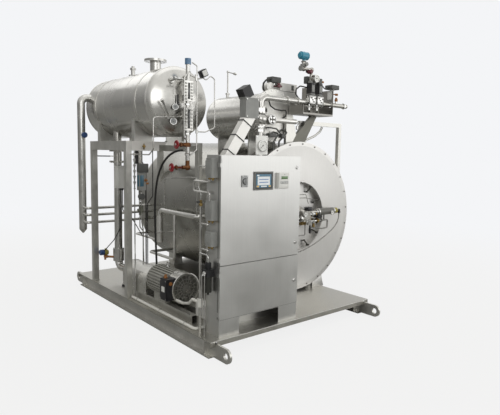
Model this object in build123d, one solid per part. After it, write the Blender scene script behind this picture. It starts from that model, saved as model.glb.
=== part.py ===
from build123d import *
import math
import os

# Industrial steam generator on a skid, all lengths in millimetres, angles in degrees.
# X runs along the front edge to the right, Y to the back and Z up from the ground.
# The origin lies under the middle of the skid at ground level.

# Clearances
seat = 0.3
moving_gap = 6.0

# Skid
deck_width = 2050.0
deck_length = 2856.0
deck_top = 146.0
deck_sheet = 6.0
deck_lip_height = 40.0
beam_height = deck_top - deck_sheet
beam_inset = 61.0
beam_flange_width = 110.0
beam_flange = 9.0
beam_web = 10.0
beam_setback = 30.0
eye_reach = 140.0
eye_height = 66.0
eye_radius = 61.0
eye_hole_radius = 28.0
eye_plate = 20.0
eye_root = 130.0
stiffener = 8.0
stiffener_setback = 98.0
notch_clearance = 2.0
cross_width = 60.0
cross_flange = 8.0
cross_web = 6.0
cross_spacing = 560.0
cross_count = 5

# Switch cabinet
cabinet_left = -909.0
cabinet_width = 894.0
cabinet_front = -1390.0
cabinet_depth = 200.0
cabinet_top = 1654.0
cabinet_sheet = 3.0
plinth_height = 147.0
plinth_setback = 6.0
plinth_opening_inset = 214.0
plinth_opening_width = 455.0
plinth_opening_left = cabinet_left + plinth_opening_inset
plinth_opening_right = plinth_opening_left + plinth_opening_width
plinth_head = 6.0
door_thickness = 25.0
door_reveal = 3.0
door_seam = 750.0
door_tray = 22.0
door_skin = 2.5
shelf = 3.0
hinge_radius = 7.0
hinge_knuckle = 34.0
hinge_arm = 12.0
hinge_inset = 60.0
frame_return = 22.0
plate_margin = 45.0
plate_thickness = 3.0
plate_standoff = 12.0
standoff_radius = 8.0

# Panel fittings on the upper door
screen_inset = 340.0
screen_drop = 293.0
screen_left = cabinet_left + screen_inset
screen_bottom = cabinet_top - screen_drop
screen_width = 214.0
screen_height = 158.0
screen_thickness = 9.0
screen_bezel = 14.0
screen_recess = 2.0
switch_inset = 209.0
switch_drop = 262.0
switch_left = cabinet_left + switch_inset
switch_bottom = cabinet_top - switch_drop
switch_width = 63.0
switch_height = 96.0
switch_thickness = 8.0
knob_radius = 21.0
knob_length = 26.0
knob_grip = 9.0
controller_inset = 601.0
controller_drop = 285.0
controller_left = cabinet_left + controller_inset
controller_bottom = cabinet_top - controller_drop
controller_width = 120.0
controller_height = 140.0
controller_thickness = 34.0
controller_edge = 6.0

# Boiler drum, lying along Y
drum_x = 604.0
drum_radius = 806.0
drum_clearance = 38.0
drum_z = deck_top + drum_clearance + drum_radius
drum_wall = 10.0
drum_front = -774.0
drum_rear = 1400.0
front_plate_proud = 10.0
front_plate_radius = drum_radius + front_plate_proud
front_plate_thickness = 40.0
rear_plate_thickness = 40.0
rear_plate_edge = 20.0
rim_band = 46.0
rim_step = 8.0
burner_radius = 388.0
burner_wall = 8.0
burner_depth = 84.0
burner_back = 12.0
burner_fit = 0.5
foot_length = 150.0
foot_width = 120.0
foot_spread = 350.0
foot_front_setback = 90.0
foot_base = 10.0
foot_base_margin = 20.0
foot_base_right_margin = 8.0

# Burner head in the middle of the front plate
head_radius = 118.0
head_length = 60.0
head_neck_radius = 82.0
head_neck_length = 52.0
gas_block_width = 130.0
gas_block_depth = 80.0
gas_block_height = 150.0
sensor_left = 830.0
sensor_right = 1083.0
sensor_reach = 76.0
sensor_y = drum_front - sensor_reach
sensor_rise = 48.0
sensor_z = drum_z + sensor_rise
sensor_radius = 38.0
sensor_cap_radius = 32.0
sensor_cap_length = 50.0
sensor_neck_radius = 20.0

# Economiser, a smaller vessel lying above the drum
eco_x = 300.0
eco_radius = 245.0
eco_rise = 274.0
eco_z = drum_z + drum_radius + eco_rise
eco_wall = 6.0
eco_front = -640.0
eco_rear = 215.0
eco_front_plate = 24.0
eco_plate_margin = 28.0
cradle_thickness = 16.0
cradle_half_width = 190.0
cradle_positions = (-480.0, 60.0)
port_y = -560.0
port_length = 84.0
port_radius = 48.0
port_rise = 57.0
port_z = eco_z + eco_radius + port_rise
port_neck_radius = 26.0
casing_left = 406.0
casing_right = 661.0
casing_setback = 8.0
casing_length = 170.0
casing_rise = 110.0
casing_height = 245.0
casing_bottom = eco_z + casing_rise
casing_top = casing_bottom + casing_height

# Feed tank, lying along Y on its own frame
tank_x = -623.0
tank_radius = 344.0
frame_top = 1775.0
saddle_height = 49.0
tank_z = frame_top + saddle_height + tank_radius
tank_wall = 6.0
tank_front = -229.0
tank_rear = 1229.0
crown_share = 2.0
knuckle_share = 0.2
nozzle_y = 194.0
nozzle_radius = 57.0
nozzle_wall = 5.0
nozzle_height = 120.0
nozzle_top = tank_z + tank_radius + nozzle_height
nozzle_flange_radius = 117.0
nozzle_flange = 22.0
nozzle_bolt_circle = 90.0
nozzle_bolt_radius = 9.0
nozzle_bolt_count = 8

# Tank frame
post = 60.0
post_left = -1015.0
post_front = 90.0
post_rear = 960.0
frame_beam = 98.0
frame_tie = 34.0
front_beam_end = -640.0
strut_share = 0.9355
strut_left = drum_x - strut_share * drum_radius
foot_plate = 8.0
foot_plate_margin = 5.0
saddle_half_width = 300.0
saddle_half_gap = 85.0
saddle_thickness = 12.0

# Overflow pipe and the drain lines that run into it
overflow_x = -1053.0
overflow_y = 1180.0
overflow_rise = 109.0
overflow_z = tank_z + overflow_rise
overflow_tip = 690.0
overflow_cone = 46.0
overflow_radius = 44.0
overflow_bend = 70.0
overflow_tip_radius = 8.0
drain_heights = (995.0, 915.0, 825.0)
drain_radius = 16.0
drain_bend = 42.0
drain_turn_y = 1066.0

# Suction line from the feed tank to the pump
suction_x = -790.0
suction_y = 780.0
suction_radius = 44.0
suction_bottom = 330.0
suction_bend = 90.0
strainer_radius = 62.0
strainer_top = 470.0
strainer_length = 150.0
valve_flange_radius = 92.0
valve_flange = 18.0
valve_drop = 95.0
valve_length = 140.0
valve_top = frame_top - valve_drop
valve_bottom = valve_top - valve_length
valve_body_radius = 66.0
lever_length = 235.0
lever_width = 26.0
lever_thickness = 12.0
junction_left = -862.0
junction_width = 128.0
junction_front = 612.0
junction_depth = 110.0
junction_bottom = 1254.0
junction_height = 250.0
junction_bracket = 30.0

# Pump set
pump_x = -790.0
hood_front = -150.0
hood_rear = 380.0
hood_radius = 135.0
hood_z = 345.0
rail_offset = 80.0
rail_width = 60.0
rail_height = 70.0
rail_wall = 5.0
rail_front = -960.0
rail_rear = hood_rear
motor_z = 388.0
motor_rear = -180.0
motor_front = -560.0
motor_radius = 128.0
fin_height = 18.0
fin_count = 32
fin_share = 0.42
motor_flange_radius = 140.0
motor_flange = 16.0
motor_shaft_radius = 22.0
motor_foot_width = 44.0
motor_foot_length = 220.0
fan_front = -690.0
fan_radius = 150.0
fan_wall = 4.0
fan_lip = 22.0
fan_hub_radius = 34.0
fan_spokes = 8
fan_spoke = 7.0
fan_rings = (62.0, 94.0)
terminal_length = 120.0
terminal_height = 200.0
terminal_depth = 62.0
terminal_front = fan_front
terminal_bottom = 300.0

# Level gauge in front of the feed tank
gauge_x = -629.0
gauge_y = -450.0
gauge_drop = 185.0
gauge_bottom = frame_top - gauge_drop
gauge_height_share = 2.66
gauge_height = gauge_height_share * tank_radius
gauge_top = gauge_bottom + gauge_height
gauge_radius = 21.0
gauge_cap_radius = 30.0
gauge_cap_height = 56.0
gauge_body_width = 92.0
gauge_body_depth = 46.0
gauge_window_shares = ((0.317, 0.557), (0.623, 0.831))
gauge_window_width = 26.0
gauge_window_depth = 9.0
gauge_window_margin = 18.0
gauge_nozzle_radius = 17.0
gauge_nozzle_shares = (0.8525, 0.4546)
gauge_flange_radius = 36.0
gauge_flange = 14.0

# Stop valves under the level gauge with their handwheels
upper_wheel_x = -753.0
upper_wheel_rise = 152.0
upper_wheel_z = gauge_bottom + upper_wheel_rise
lower_wheel_x = -808.0
lower_wheel_drop = 67.0
lower_wheel_z = gauge_bottom - lower_wheel_drop
wheel_radius = 42.0
wheel_rim = 6.5
wheel_hub_radius = 13.0
wheel_hub_length = 22.0
wheel_spoke_radius = 4.5
wheel_spokes = 3
stem_radius = 8.0
bonnet_radius = 19.0
bonnet_length = 30.0
valve_ball_radius = 30.0
lower_stem_radius = 10.0

# Pipework along the left flank of the drum
flank_gap = 128.0
flank_x = drum_x - drum_radius - flank_gap
feed_radius = 26.0
feed_drop = 10.0
feed_height = drum_z - feed_drop
feed_rear_y = 625.0
feed_front_y = -173.0
feed_fall = 390.0
feed_low = feed_height - feed_fall
feed_bend = 58.0
lagging_radius = 38.0
lagging_drop = 80.0
lagging_top = feed_height - lagging_drop
branch_radius = 17.0
branch_y = 288.0
branch_drop = 560.0
branch_low = drum_z - branch_drop
branch_bend = 36.0
low_rear_y = 877.0
small_radius = 13.0
small_drop = 383.0
small_height = drum_z - small_drop
small_rear_y = 1254.0
small_bend = 30.0

# Air and instrument fittings on the left side of the cabinet
side_valve_depth = 58.0
side_valve_width = 92.0
side_valve_setback = 96.0
side_valve_y = cabinet_front + side_valve_setback
side_valve_drops = ((184.0, 26.0), (532.0, 368.0), (746.0, 624.0))
side_valve_round = 20.0
riser_offset = 37.0
riser_x = cabinet_left - riser_offset
riser_setback = 30.0
riser_y = cabinet_front + cabinet_depth + riser_setback
riser_radius = 12.0
riser_drop = 422.0
riser_top = cabinet_top - riser_drop
tap_radius = 9.0
tap_drop = 40.0
elbow_radius = 15.0
filter_offset = 43.0
filter_x = cabinet_left - filter_offset
filter_setback = 106.0
filter_y = cabinet_front + filter_setback
filter_bottom = 500.0
filter_bowl_radius = 31.0
filter_bowl_height = 130.0
filter_head_width = 66.0
filter_head_height = 62.0
filter_knob_radius = 23.0
filter_knob_height = 58.0
filter_tip_radius = 10.0
filter_tip_height = 22.0
cable_box_width = 150.0
cable_box_depth = 150.0
cable_box_bottom = 250.0
cable_box_height = 118.0

# Cable duct that climbs from the cabinet's back to the actuator
duct_setback = 150.0
duct_y = cabinet_front + cabinet_depth + duct_setback
duct_depth = 70.0
duct_width = 104.0
duct_inset = 269.0
duct_foot_x = cabinet_left + duct_inset
duct_drop = 94.0
duct_foot_z = cabinet_top - duct_drop
duct_run = 310.0
duct_head_x = duct_foot_x + duct_run
duct_climb = 476.0
duct_head_z = duct_foot_z + duct_climb
duct_tab = 40.0
actuator_y = duct_y
actuator_offset = 68.0
actuator_x = duct_head_x - actuator_offset
actuator_rise = 180.0
actuator_z = duct_head_z + actuator_rise
actuator_size = 102.0
actuator_depth = 96.0
actuator_tilt = 30.0
actuator_body_rise = 4.0
actuator_body_height = 130.0
actuator_body_bottom = duct_head_z + actuator_body_rise
actuator_body_top = actuator_body_bottom + actuator_body_height
actuator_body_offset = 90.0
actuator_body_width = 152.0
actuator_body_left = duct_head_x - actuator_body_offset
actuator_body_right = actuator_body_left + actuator_body_width
actuator_body_depth = 90.0

# Valve station, an open tray on the V bracket behind the front plate
station_left = 509.0
station_right = 972.0
station_reach = 116.0
station_front = drum_front - station_reach
station_rear_gap = 6.0
station_rise = 296.0
station_bottom = drum_z + drum_radius + station_rise
station_sheet = 4.0
station_lip = 18.0
station_left_height = 96.0
station_right_height = 284.0
station_divider_x = 705.0
station_divider_height = 300.0
station_divider_gap = 8.0
bracket_thickness = 36.0
bracket_setback = 84.0
bracket_y = drum_front + bracket_setback
bracket_tip_left = 445.0
bracket_tip_right = 698.0
bracket_tip_sink = 46.0
bracket_left_arm = 90.0
bracket_right_arm = 88.0
bracket_right_x = 908.0
bracket_notch_x = 594.0
bracket_notch_rise = 84.0

# Gas line between the valve train and the burner
gas_y = sensor_y
gas_x = -48.0
gas_inlet_rise = 128.0
gas_z = station_bottom + gas_inlet_rise
gas_radius = 27.0
gas_bend = 62.0
gas_elbow_radius = 36.0
gas_elbow_leg = 92.0
gas_ring_positions = (305.0, 455.0)
gas_ring_radius = 38.0
gas_ring_width = 20.0
gas_burner_drop = 5.0
gas_burner_z = drum_z - gas_burner_drop
unions = ((124.0, 58.0, 56.0), (322.0, 42.0, 38.0))
ball_drop = 214.0
ball_level = gas_z - ball_drop
ball_radius = 70.0
ball_flange_radius = 60.0
ball_flange = 16.0
ball_flange_offset = 62.0
ball_boss_radius = 38.0
ball_boss_reach = 108.0
ball_cap_radius = 48.0
ball_cap_reach = 50.0
lever_tube_radius = 22.0
lever_tube_end = 440.0

# Valve train in the tray, with its gauge and transmitter
train_left = 596.0
train_right = 856.0
train_radius = 30.0
valve_positions = (652.0, 770.0)
valve_body_radius = 46.0
valve_body_width = 48.0
valve_post_radius = 14.0
valve_top_width = 52.0
valve_top_depth = 72.0
valve_top_rise = 40.0
valve_top_height = 164.0
stack_x = valve_positions[0]
stack_stem_radius = 18.0
stack_arm_rise = 340.0
stack_arm_z = gas_z + stack_arm_rise
stack_head_x = 533.0
stack_joint_radius = 27.0
stack_stem_rise = 420.0
stack_stem_top = gas_z + stack_stem_rise
stack_dial_offset = 24.0
stack_dial_radius = 42.0
stack_dial_depth = 48.0
stack_dial_rise = 248.0
stack_dial_z = gas_z + stack_dial_rise
transmitter_radius = 40.0
transmitter_length = 96.0
transmitter_rise = 50.0
transmitter_z = stack_stem_top + transmitter_rise
transmitter_neck_radius = 16.0
stub_radius = 24.0
stub_reach = 262.0
stub_clearance = 6.0
gauge_plate_width = 150.0
gauge_plate_drop = 560.0
gauge_plate_bottom = gas_z - gauge_plate_drop
gauge_plate_height = 186.0
gauge_plate_thickness = 8.0
dial_radius = 57.0
dial_depth = 14.0
dial_rise = 88.0
dial_z = gauge_plate_bottom + dial_rise
dial_recess = 4.0
dial_bezel = 6.0

# Side portal that steadies the valve station from the drum's right flank
portal_setback = 134.0
portal_y = drum_front + portal_setback
portal_size = 44.0
portal_share = 0.955
portal_x = drum_x + portal_share * drum_radius
portal_rise = 244.0
portal_top = drum_z + drum_radius + portal_rise
portal_left = 700.0

# Level transmitter that hangs under the front beam of the tank frame
hanger_x = -861.0
hanger_width = 34.0
hanger_thickness = 6.0
hanger_bottom = 1170.0
head_box_width = 74.0
head_box_depth = 58.0
head_box_height = 178.0
head_box_z = 1272.0
hanger_knob_radius = 22.0
hanger_knob_length = 30.0
hanger_knob_z = 1206.0

# Conduit along the left edge of the deck
conduit_x = -968.0
conduit_radius = 13.0
conduit_rear = 70.0
conduit_front = -1120.0
conduit_rise = 46.0
conduit_bend = 40.0

# Cable from the flame sensor to the cabinet's back, and the drain hose of the level gauge.
# Their routes are chosen by hand and hang between the two glands that hold each one.
cable_radius = 6.0
cable_route = (
    (1187.0, -850.0, 1002.0),
    (1187.0, -850.0, 930.0),
    (1128.0, -850.0, 850.0),
    (1010.0, -850.0, 778.0),
    (880.0, -850.0, 716.0),
    (740.0, -850.0, 660.0),
    (600.0, -850.0, 624.0),
    (460.0, -868.0, 612.0),
    (325.0, -905.0, 622.0),
    (195.0, -960.0, 646.0),
    (50.0, -1010.0, 668.0),
    (-60.0, -1070.0, 676.0),
    (-60.0, -1160.0, 676.0),
)
hose_radius = 11.0
hose_route = (
    (-629.0, -390.0, 1690.0),
    (-629.0, -330.0, 1690.0),
    (-636.0, -220.0, 1675.0),
    (-646.0, -90.0, 1620.0),
    (-656.0, 30.0, 1510.0),
    (-662.0, 110.0, 1340.0),
    (-660.0, 150.0, 1110.0),
    (-650.0, 160.0, 870.0),
    (-640.0, 160.0, 630.0),
    (-632.0, 158.0, 410.0),
    (-628.0, 157.0, 285.0),
    (-628.0, 157.0, 191.0),
)
run_share = 0.45
gland_radius = 13.0
gland_elbow_radius = 15.0
hose_tail_radius = 14.0

os.makedirs("parts", exist_ok=True)


def solids_of(piece):
    """Gives the solids of a shape or of a list of shapes."""
    if isinstance(piece, (list, tuple)):
        return [solid for item in piece for solid in solids_of(item)]
    return list(piece.solids())


def write(name, *pieces):
    """Writes one node, whose separate solids don't touch each other."""
    solids = solids_of(list(pieces))
    body = solids[0] if len(solids) == 1 else Compound(solids)
    export_step(body, "parts/" + name + ".step")


def block(x_from, x_to, y_from, y_to, z_from, z_to):
    """A box between two corners."""
    centre = ((x_from + x_to) / 2, (y_from + y_to) / 2, (z_from + z_to) / 2)
    return Pos(*centre) * Box(x_to - x_from, y_to - y_from, z_to - z_from)


def rod(start, end, radius):
    """A round bar between two points."""
    line = Vector(*end) - Vector(*start)
    foot = Plane(origin=start, z_dir=line)
    return foot * Cylinder(radius, line.length, align=(Align.CENTER, Align.CENTER, Align.MIN))


def cone(start, end, start_radius, end_radius):
    """A tapered bar between two points."""
    line = Vector(*end) - Vector(*start)
    foot = Plane(origin=start, z_dir=line)
    upright = (Align.CENTER, Align.CENTER, Align.MIN)
    return foot * Cone(start_radius, end_radius, line.length, align=upright)


def run(points, radius, bend):
    """A pipe of one radius along straight legs with rounded bends."""
    path = FilletPolyline(*points, radius=bend)
    foot = Plane(origin=path @ 0, z_dir=path % 0)
    return sweep(foot * Circle(radius), path=path)


def cord(points, radius):
    """A free cord: straight runs joined by the largest arcs that they leave room for."""
    knots = [Vector(*point) for point in points]
    bends = []
    for before, here, after in zip(knots, knots[1:], knots[2:]):
        turn = math.radians((here - before).get_angle(after - here))
        shorter = min((here - before).length, (after - here).length)
        bends.append(run_share * shorter / math.tan(turn / 2))
    path = FilletPolyline(*points, radius=bends)
    section = Plane(origin=path @ 0, z_dir=path % 0) * Circle(radius)
    tube = sweep(section, path=path)
    print("cord", round(path.length), "mm long, bends", [round(bend) for bend in bends])
    print("volume against section times length", tube.volume / (math.pi * radius**2 * path.length))
    return tube


def lying_tube(x, z, y_from, y_to, outer, inner):
    """A tube that lies along Y."""
    skin = rod((x, y_from, z), (x, y_to, z), outer)
    return skin - rod((x, y_from, z), (x, y_to, z), inner)


def slanted(points, y_from, y_to):
    """A plate with a flat outline in X and Z, from one Y to the other."""
    outline = make_face(Polyline(*[(x, y_from, z) for x, z in points], close=True))
    return extrude(outline, amount=y_to - y_from, dir=(0, 1, 0))


def dished(x, z, y_edge, radius, wall, way):
    """A torispherical end: a crown and a knuckle arc that meet in a tangent, spun round Y."""
    crown = crown_share * radius
    knuckle = knuckle_share * radius
    depth = crown - math.sqrt((crown - knuckle) ** 2 - (radius - knuckle) ** 2)
    crown_v = depth - crown
    meet = math.atan2(-crown_v, radius - knuckle)

    def edge(inset):
        """The arcs at one depth in the sheet, from the pole out to the rim."""
        big = crown - inset
        small = knuckle - inset
        half = (meet + math.pi / 2) / 2
        pole = (0, crown_v + big)
        mid = (big * math.cos(half), crown_v + big * math.sin(half))
        joint = (big * math.cos(meet), crown_v + big * math.sin(meet))
        turn = meet / 2
        bend = (radius - knuckle + small * math.cos(turn), small * math.sin(turn))
        rim = (radius - knuckle + small, 0)
        return pole, mid, joint, bend, rim

    def place(point):
        """Puts a point of the flat profile into the frame."""
        return (x + point[0], y_edge + way * point[1], z)

    outer = [place(point) for point in edge(0)]
    inner = [place(point) for point in edge(wall)]
    sides = [
        ThreePointArc(outer[0], outer[1], outer[2]),
        ThreePointArc(outer[2], outer[3], outer[4]),
        Line(outer[4], inner[4]),
        ThreePointArc(inner[4], inner[3], inner[2]),
        ThreePointArc(inner[2], inner[1], inner[0]),
        Line(inner[0], outer[0]),
    ]
    profile = make_face(sides)
    return revolve(profile, Axis((x, y_edge, z), (0, 1, 0)), 360), depth


# Skid: two beams with lifting eyes, members between them and the deck
half_width = deck_width / 2
half_length = deck_length / 2
beam_x = half_width - beam_inset
flange_end = half_length - beam_setback
eye_y = half_length + eye_reach


def skid_beam(side):
    """One long beam, its eye plates at both ends and the stiffeners beside its web."""
    x = side * beam_x
    half_flange = beam_flange_width / 2
    beam = block(x - beam_web / 2, x + beam_web / 2, -flange_end, flange_end, 0, beam_height)
    for foot in (0, beam_height - beam_flange):
        beam += block(x - half_flange, x + half_flange, -flange_end, flange_end, foot, foot + beam_flange)
    for way in (-1, 1):
        root = way * (flange_end - eye_root)
        tip = way * eye_y
        low = eye_height - eye_radius
        high = eye_height + eye_radius
        beam += block(x - eye_plate / 2, x + eye_plate / 2, min(root, tip), max(root, tip), low, high)
        eye_ends = ((x - eye_plate / 2, tip, eye_height), (x + eye_plate / 2, tip, eye_height))
        beam += rod(*eye_ends, eye_radius)
        beam -= rod(*eye_ends, eye_hole_radius)
        rib = way * (half_length - stiffener_setback)
        rib_sides = (rib - stiffener / 2, rib + stiffener / 2)
        rib_ends = (beam_flange / 2, beam_height - beam_flange / 2)
        beam += block(x - half_flange, x + half_flange, *rib_sides, *rib_ends)
    return beam


write("skid_beams", skid_beam(-1), skid_beam(1))

members = []
member_reach = beam_x - beam_flange_width / 2
for step in range(cross_count):
    y = (step - (cross_count - 1) / 2) * cross_spacing
    member = block(-member_reach, member_reach, y - cross_web / 2, y + cross_web / 2, 0, beam_height)
    for foot in (0, beam_height - cross_flange):
        sides = (y - cross_width / 2, y + cross_width / 2)
        member += block(-member_reach, member_reach, *sides, foot, foot + cross_flange)
    members.append(member)
write("cross_members", members)

deck = block(-half_width, half_width, -half_length, half_length, beam_height, deck_top)
for way in (-1, 1):
    edge_y = way * half_length
    inner_y = way * (half_length - deck_sheet)
    sides = (min(edge_y, inner_y), max(edge_y, inner_y))
    lip = block(-half_width, half_width, *sides, beam_height - deck_lip_height, beam_height)
    for side in (-1, 1):
        notch = eye_plate / 2 + notch_clearance
        x = side * beam_x
        lip -= block(x - notch, x + notch, *sides, 0, beam_height)
    deck += lip
hose_end = hose_route[-1]
deck += rod((hose_end[0], hose_end[1], deck_top), hose_end, hose_tail_radius)
write("deck_plate", deck)

# Cabinet: plinth, hollow shell with a shelf at the door seam, two doors and a mounting plate
cabinet_right = cabinet_left + cabinet_width
cabinet_back = cabinet_front + cabinet_depth
plinth_top = deck_top + plinth_height
shell_front = cabinet_front + door_thickness + moving_gap
plinth_front = cabinet_front + plinth_setback

plinth = block(cabinet_left, cabinet_right, plinth_front, cabinet_back, deck_top, plinth_top)
plinth -= block(
    cabinet_left + cabinet_sheet,
    cabinet_right - cabinet_sheet,
    plinth_front + cabinet_sheet,
    cabinet_back - cabinet_sheet,
    deck_top,
    plinth_top - cabinet_sheet,
)
opening_y = (plinth_front, plinth_front + cabinet_sheet)
plinth -= block(plinth_opening_left, plinth_opening_right, *opening_y, deck_top, plinth_top - plinth_head)
write("cabinet_plinth", plinth)

inner_left = cabinet_left + cabinet_sheet
inner_right = cabinet_right - cabinet_sheet
inner_back = cabinet_back - cabinet_sheet
shell = block(cabinet_left, cabinet_right, shell_front, cabinet_back, plinth_top, cabinet_top)
bays = (
    (plinth_top + cabinet_sheet, door_seam - shelf / 2),
    (door_seam + shelf / 2, cabinet_top - cabinet_sheet),
)
for low, high in bays:
    shell -= block(inner_left, inner_right, shell_front, inner_back, low, high)
lower_door_span = (plinth_top + door_reveal, door_seam - moving_gap / 2)
upper_door_span = (door_seam + moving_gap / 2, cabinet_top - door_reveal)


def hinge_levels(span):
    """The heights where a door's knuckles rest on those of the shell."""
    return (span[0] + hinge_inset, span[1] - hinge_inset)


def knuckle(foot, top):
    """A hinge barrel on the door's turning axis, at its front left edge."""
    return rod((cabinet_left, cabinet_front, foot), (cabinet_left, cabinet_front, top), hinge_radius)


for span in (lower_door_span, upper_door_span):
    for level in hinge_levels(span):
        foot = level - hinge_knuckle
        arm = block(
            cabinet_left - hinge_radius,
            cabinet_left,
            cabinet_front,
            shell_front + hinge_arm,
            foot,
            level,
        )
        door_edge = block(
            cabinet_left - seat,
            cabinet_right,
            cabinet_front - hinge_radius,
            cabinet_front + door_thickness + moving_gap / 2,
            foot,
            level,
        )
        swing_side = block(
            cabinet_left - hinge_radius,
            cabinet_left,
            cabinet_front - hinge_radius,
            cabinet_front + seat,
            foot,
            level,
        )
        shell += arm + knuckle(foot, level) - door_edge - swing_side
for low, high in bays:
    lip_y = (shell_front, shell_front + cabinet_sheet)
    lip = block(inner_left, inner_right, *lip_y, low, high)
    lip -= block(
        inner_left + frame_return,
        inner_right - frame_return,
        *lip_y,
        low + frame_return,
        high - frame_return,
    )
    shell += lip
cable_end = cable_route[-1]
shell += rod((cable_end[0], cabinet_back, cable_end[2]), cable_end, gland_radius)
write("cabinet_shell", shell)


def door(low, high):
    """A folded sheet door: a pan open to the inside, with the upper half of each hinge."""
    back = cabinet_front + door_thickness
    pan = block(cabinet_left, cabinet_right, cabinet_front, back, low, high)
    pan -= block(
        cabinet_left + door_tray,
        cabinet_right - door_tray,
        cabinet_front + door_skin,
        back,
        low + door_tray,
        high - door_tray,
    )
    for level in hinge_levels((low, high)):
        pan += knuckle(level + seat, level + hinge_knuckle)
    return pan


write("cabinet_lower_door", door(*lower_door_span))
write("cabinet_upper_door", door(*upper_door_span))

plate_back = inner_back - plate_standoff
plate = []
for low, high in bays:
    span = (low + plate_margin, high - plate_margin)
    sides = (inner_left + plate_margin, inner_right - plate_margin)
    sheet = block(*sides, plate_back - plate_thickness, plate_back, *span)
    for x in (sides[0] + plate_margin, sides[1] - plate_margin):
        for z in (span[0] + plate_margin, span[1] - plate_margin):
            sheet += rod((x, plate_back, z), (x, inner_back, z), standoff_radius)
    plate.append(sheet)
write("mounting_plate", plate)

# Panel fittings
screen_right = screen_left + screen_width
screen_top = screen_bottom + screen_height
screen = block(
    screen_left, screen_right, cabinet_front - screen_thickness, cabinet_front, screen_bottom, screen_top
)
screen -= block(
    screen_left + screen_bezel,
    screen_right - screen_bezel,
    cabinet_front - screen_thickness,
    cabinet_front - screen_thickness + screen_recess,
    screen_bottom + screen_bezel,
    screen_top - screen_bezel,
)
write("touch_screen", screen)

switch_x = switch_left + switch_width / 2
switch_z = switch_bottom + switch_height / 2
switch_face = cabinet_front - switch_thickness
switch = block(
    switch_left,
    switch_left + switch_width,
    switch_face,
    cabinet_front,
    switch_bottom,
    switch_bottom + switch_height,
)
switch_neck_end = (switch_x, switch_face - knob_length / 2, switch_z)
switch += rod((switch_x, switch_face, switch_z), switch_neck_end, knob_radius)
switch += block(
    switch_x - knob_grip / 2,
    switch_x + knob_grip / 2,
    switch_face - knob_length,
    switch_face,
    switch_z - knob_radius,
    switch_z + knob_radius,
)
write("main_switch", switch)

controller = block(
    controller_left,
    controller_left + controller_width,
    cabinet_front - controller_thickness,
    cabinet_front,
    controller_bottom,
    controller_bottom + controller_height,
)
front_edges = controller.faces().sort_by(Axis.Y)[0].edges()
controller = chamfer(front_edges, controller_edge)
write("burner_controller", controller)

# Boiler drum with its ends and feet
shell_start = drum_front + front_plate_thickness
drum_bore = drum_radius - drum_wall
write("boiler_shell", lying_tube(drum_x, drum_z, shell_start, drum_rear, drum_radius, drum_bore))

front_plate = rod((drum_x, drum_front, drum_z), (drum_x, shell_start, drum_z), front_plate_radius)
front_plate -= rod(
    (drum_x, drum_front, drum_z),
    (drum_x, drum_front + rim_step, drum_z),
    front_plate_radius - rim_band,
)
front_plate -= rod((drum_x, drum_front, drum_z), (drum_x, shell_start, drum_z), burner_radius)
write("boiler_front_plate", front_plate)

rear_plate = rod((drum_x, drum_rear, drum_z), (drum_x, drum_rear + rear_plate_thickness, drum_z), drum_radius)
rear_rim = rear_plate.faces().sort_by(Axis.Y)[-1].edges()
rear_plate = fillet(rear_rim, rear_plate_edge)
write("boiler_rear_plate", rear_plate)

drum_skin = rod(
    (drum_x, shell_start, drum_z),
    (drum_x, drum_rear, drum_z),
    drum_radius + seat,
)
feet = []
for front in (shell_start + foot_front_setback, drum_rear - foot_front_setback - foot_length):
    for side in (-1, 1):
        x = drum_x + side * foot_spread
        margin = foot_base_right_margin if side > 0 else foot_base_margin
        foot = block(
            x - foot_width / 2, x + foot_width / 2, front, front + foot_length, deck_top, drum_z
        )
        foot += block(
            x - foot_width / 2 - foot_base_margin,
            x + foot_width / 2 + margin,
            front - foot_base_margin,
            front + foot_length + foot_base_margin,
            deck_top,
            deck_top + foot_base,
        )
        feet.append(foot - drum_skin)
write("boiler_feet", feet)

# Burner cup in the hole of the front plate, and the burner head
cup_radius = burner_radius - burner_fit
cup_end = drum_front + burner_depth
cup = rod((drum_x, drum_front + rim_step, drum_z), (drum_x, cup_end, drum_z), cup_radius)
cup_floor = cup_end - burner_back
cup -= rod((drum_x, drum_front, drum_z), (drum_x, cup_floor, drum_z), cup_radius - burner_wall)
write("burner_cup", cup)

head_face = cup_floor - head_length
neck_face = head_face - head_neck_length
burner_head = rod((drum_x, cup_floor, drum_z), (drum_x, head_face, drum_z), head_radius)
burner_head += rod((drum_x, head_face, drum_z), (drum_x, neck_face, drum_z), head_neck_radius)
burner_head += block(
    drum_x - gas_block_width / 2,
    drum_x + gas_block_width / 2,
    neck_face - gas_block_depth,
    neck_face,
    drum_z - gas_block_height / 2,
    drum_z + gas_block_height / 2,
)
write("burner_head", burner_head)

sensor = rod((sensor_left, sensor_y, sensor_z), (sensor_right, sensor_y, sensor_z), sensor_radius)
cap_end = sensor_right + sensor_cap_length
sensor += rod((sensor_right, sensor_y, sensor_z), (cap_end, sensor_y, sensor_z), sensor_cap_radius)
block_right = drum_x + gas_block_width / 2
sensor += rod((block_right, sensor_y, sensor_z), (sensor_left, sensor_y, sensor_z), sensor_neck_radius)
cable_exit = cable_route[0]
sensor += rod((cap_end, sensor_y, sensor_z), (cable_exit[0], sensor_y, sensor_z), gland_radius)
sensor += rod((cable_exit[0], sensor_y, sensor_z), cable_exit, gland_radius)
sensor += Pos(cable_exit[0], sensor_y, sensor_z) * Sphere(gland_elbow_radius)
write("flame_sensor", sensor)
write("burner_cable", cord(cable_route, cable_radius))

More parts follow.
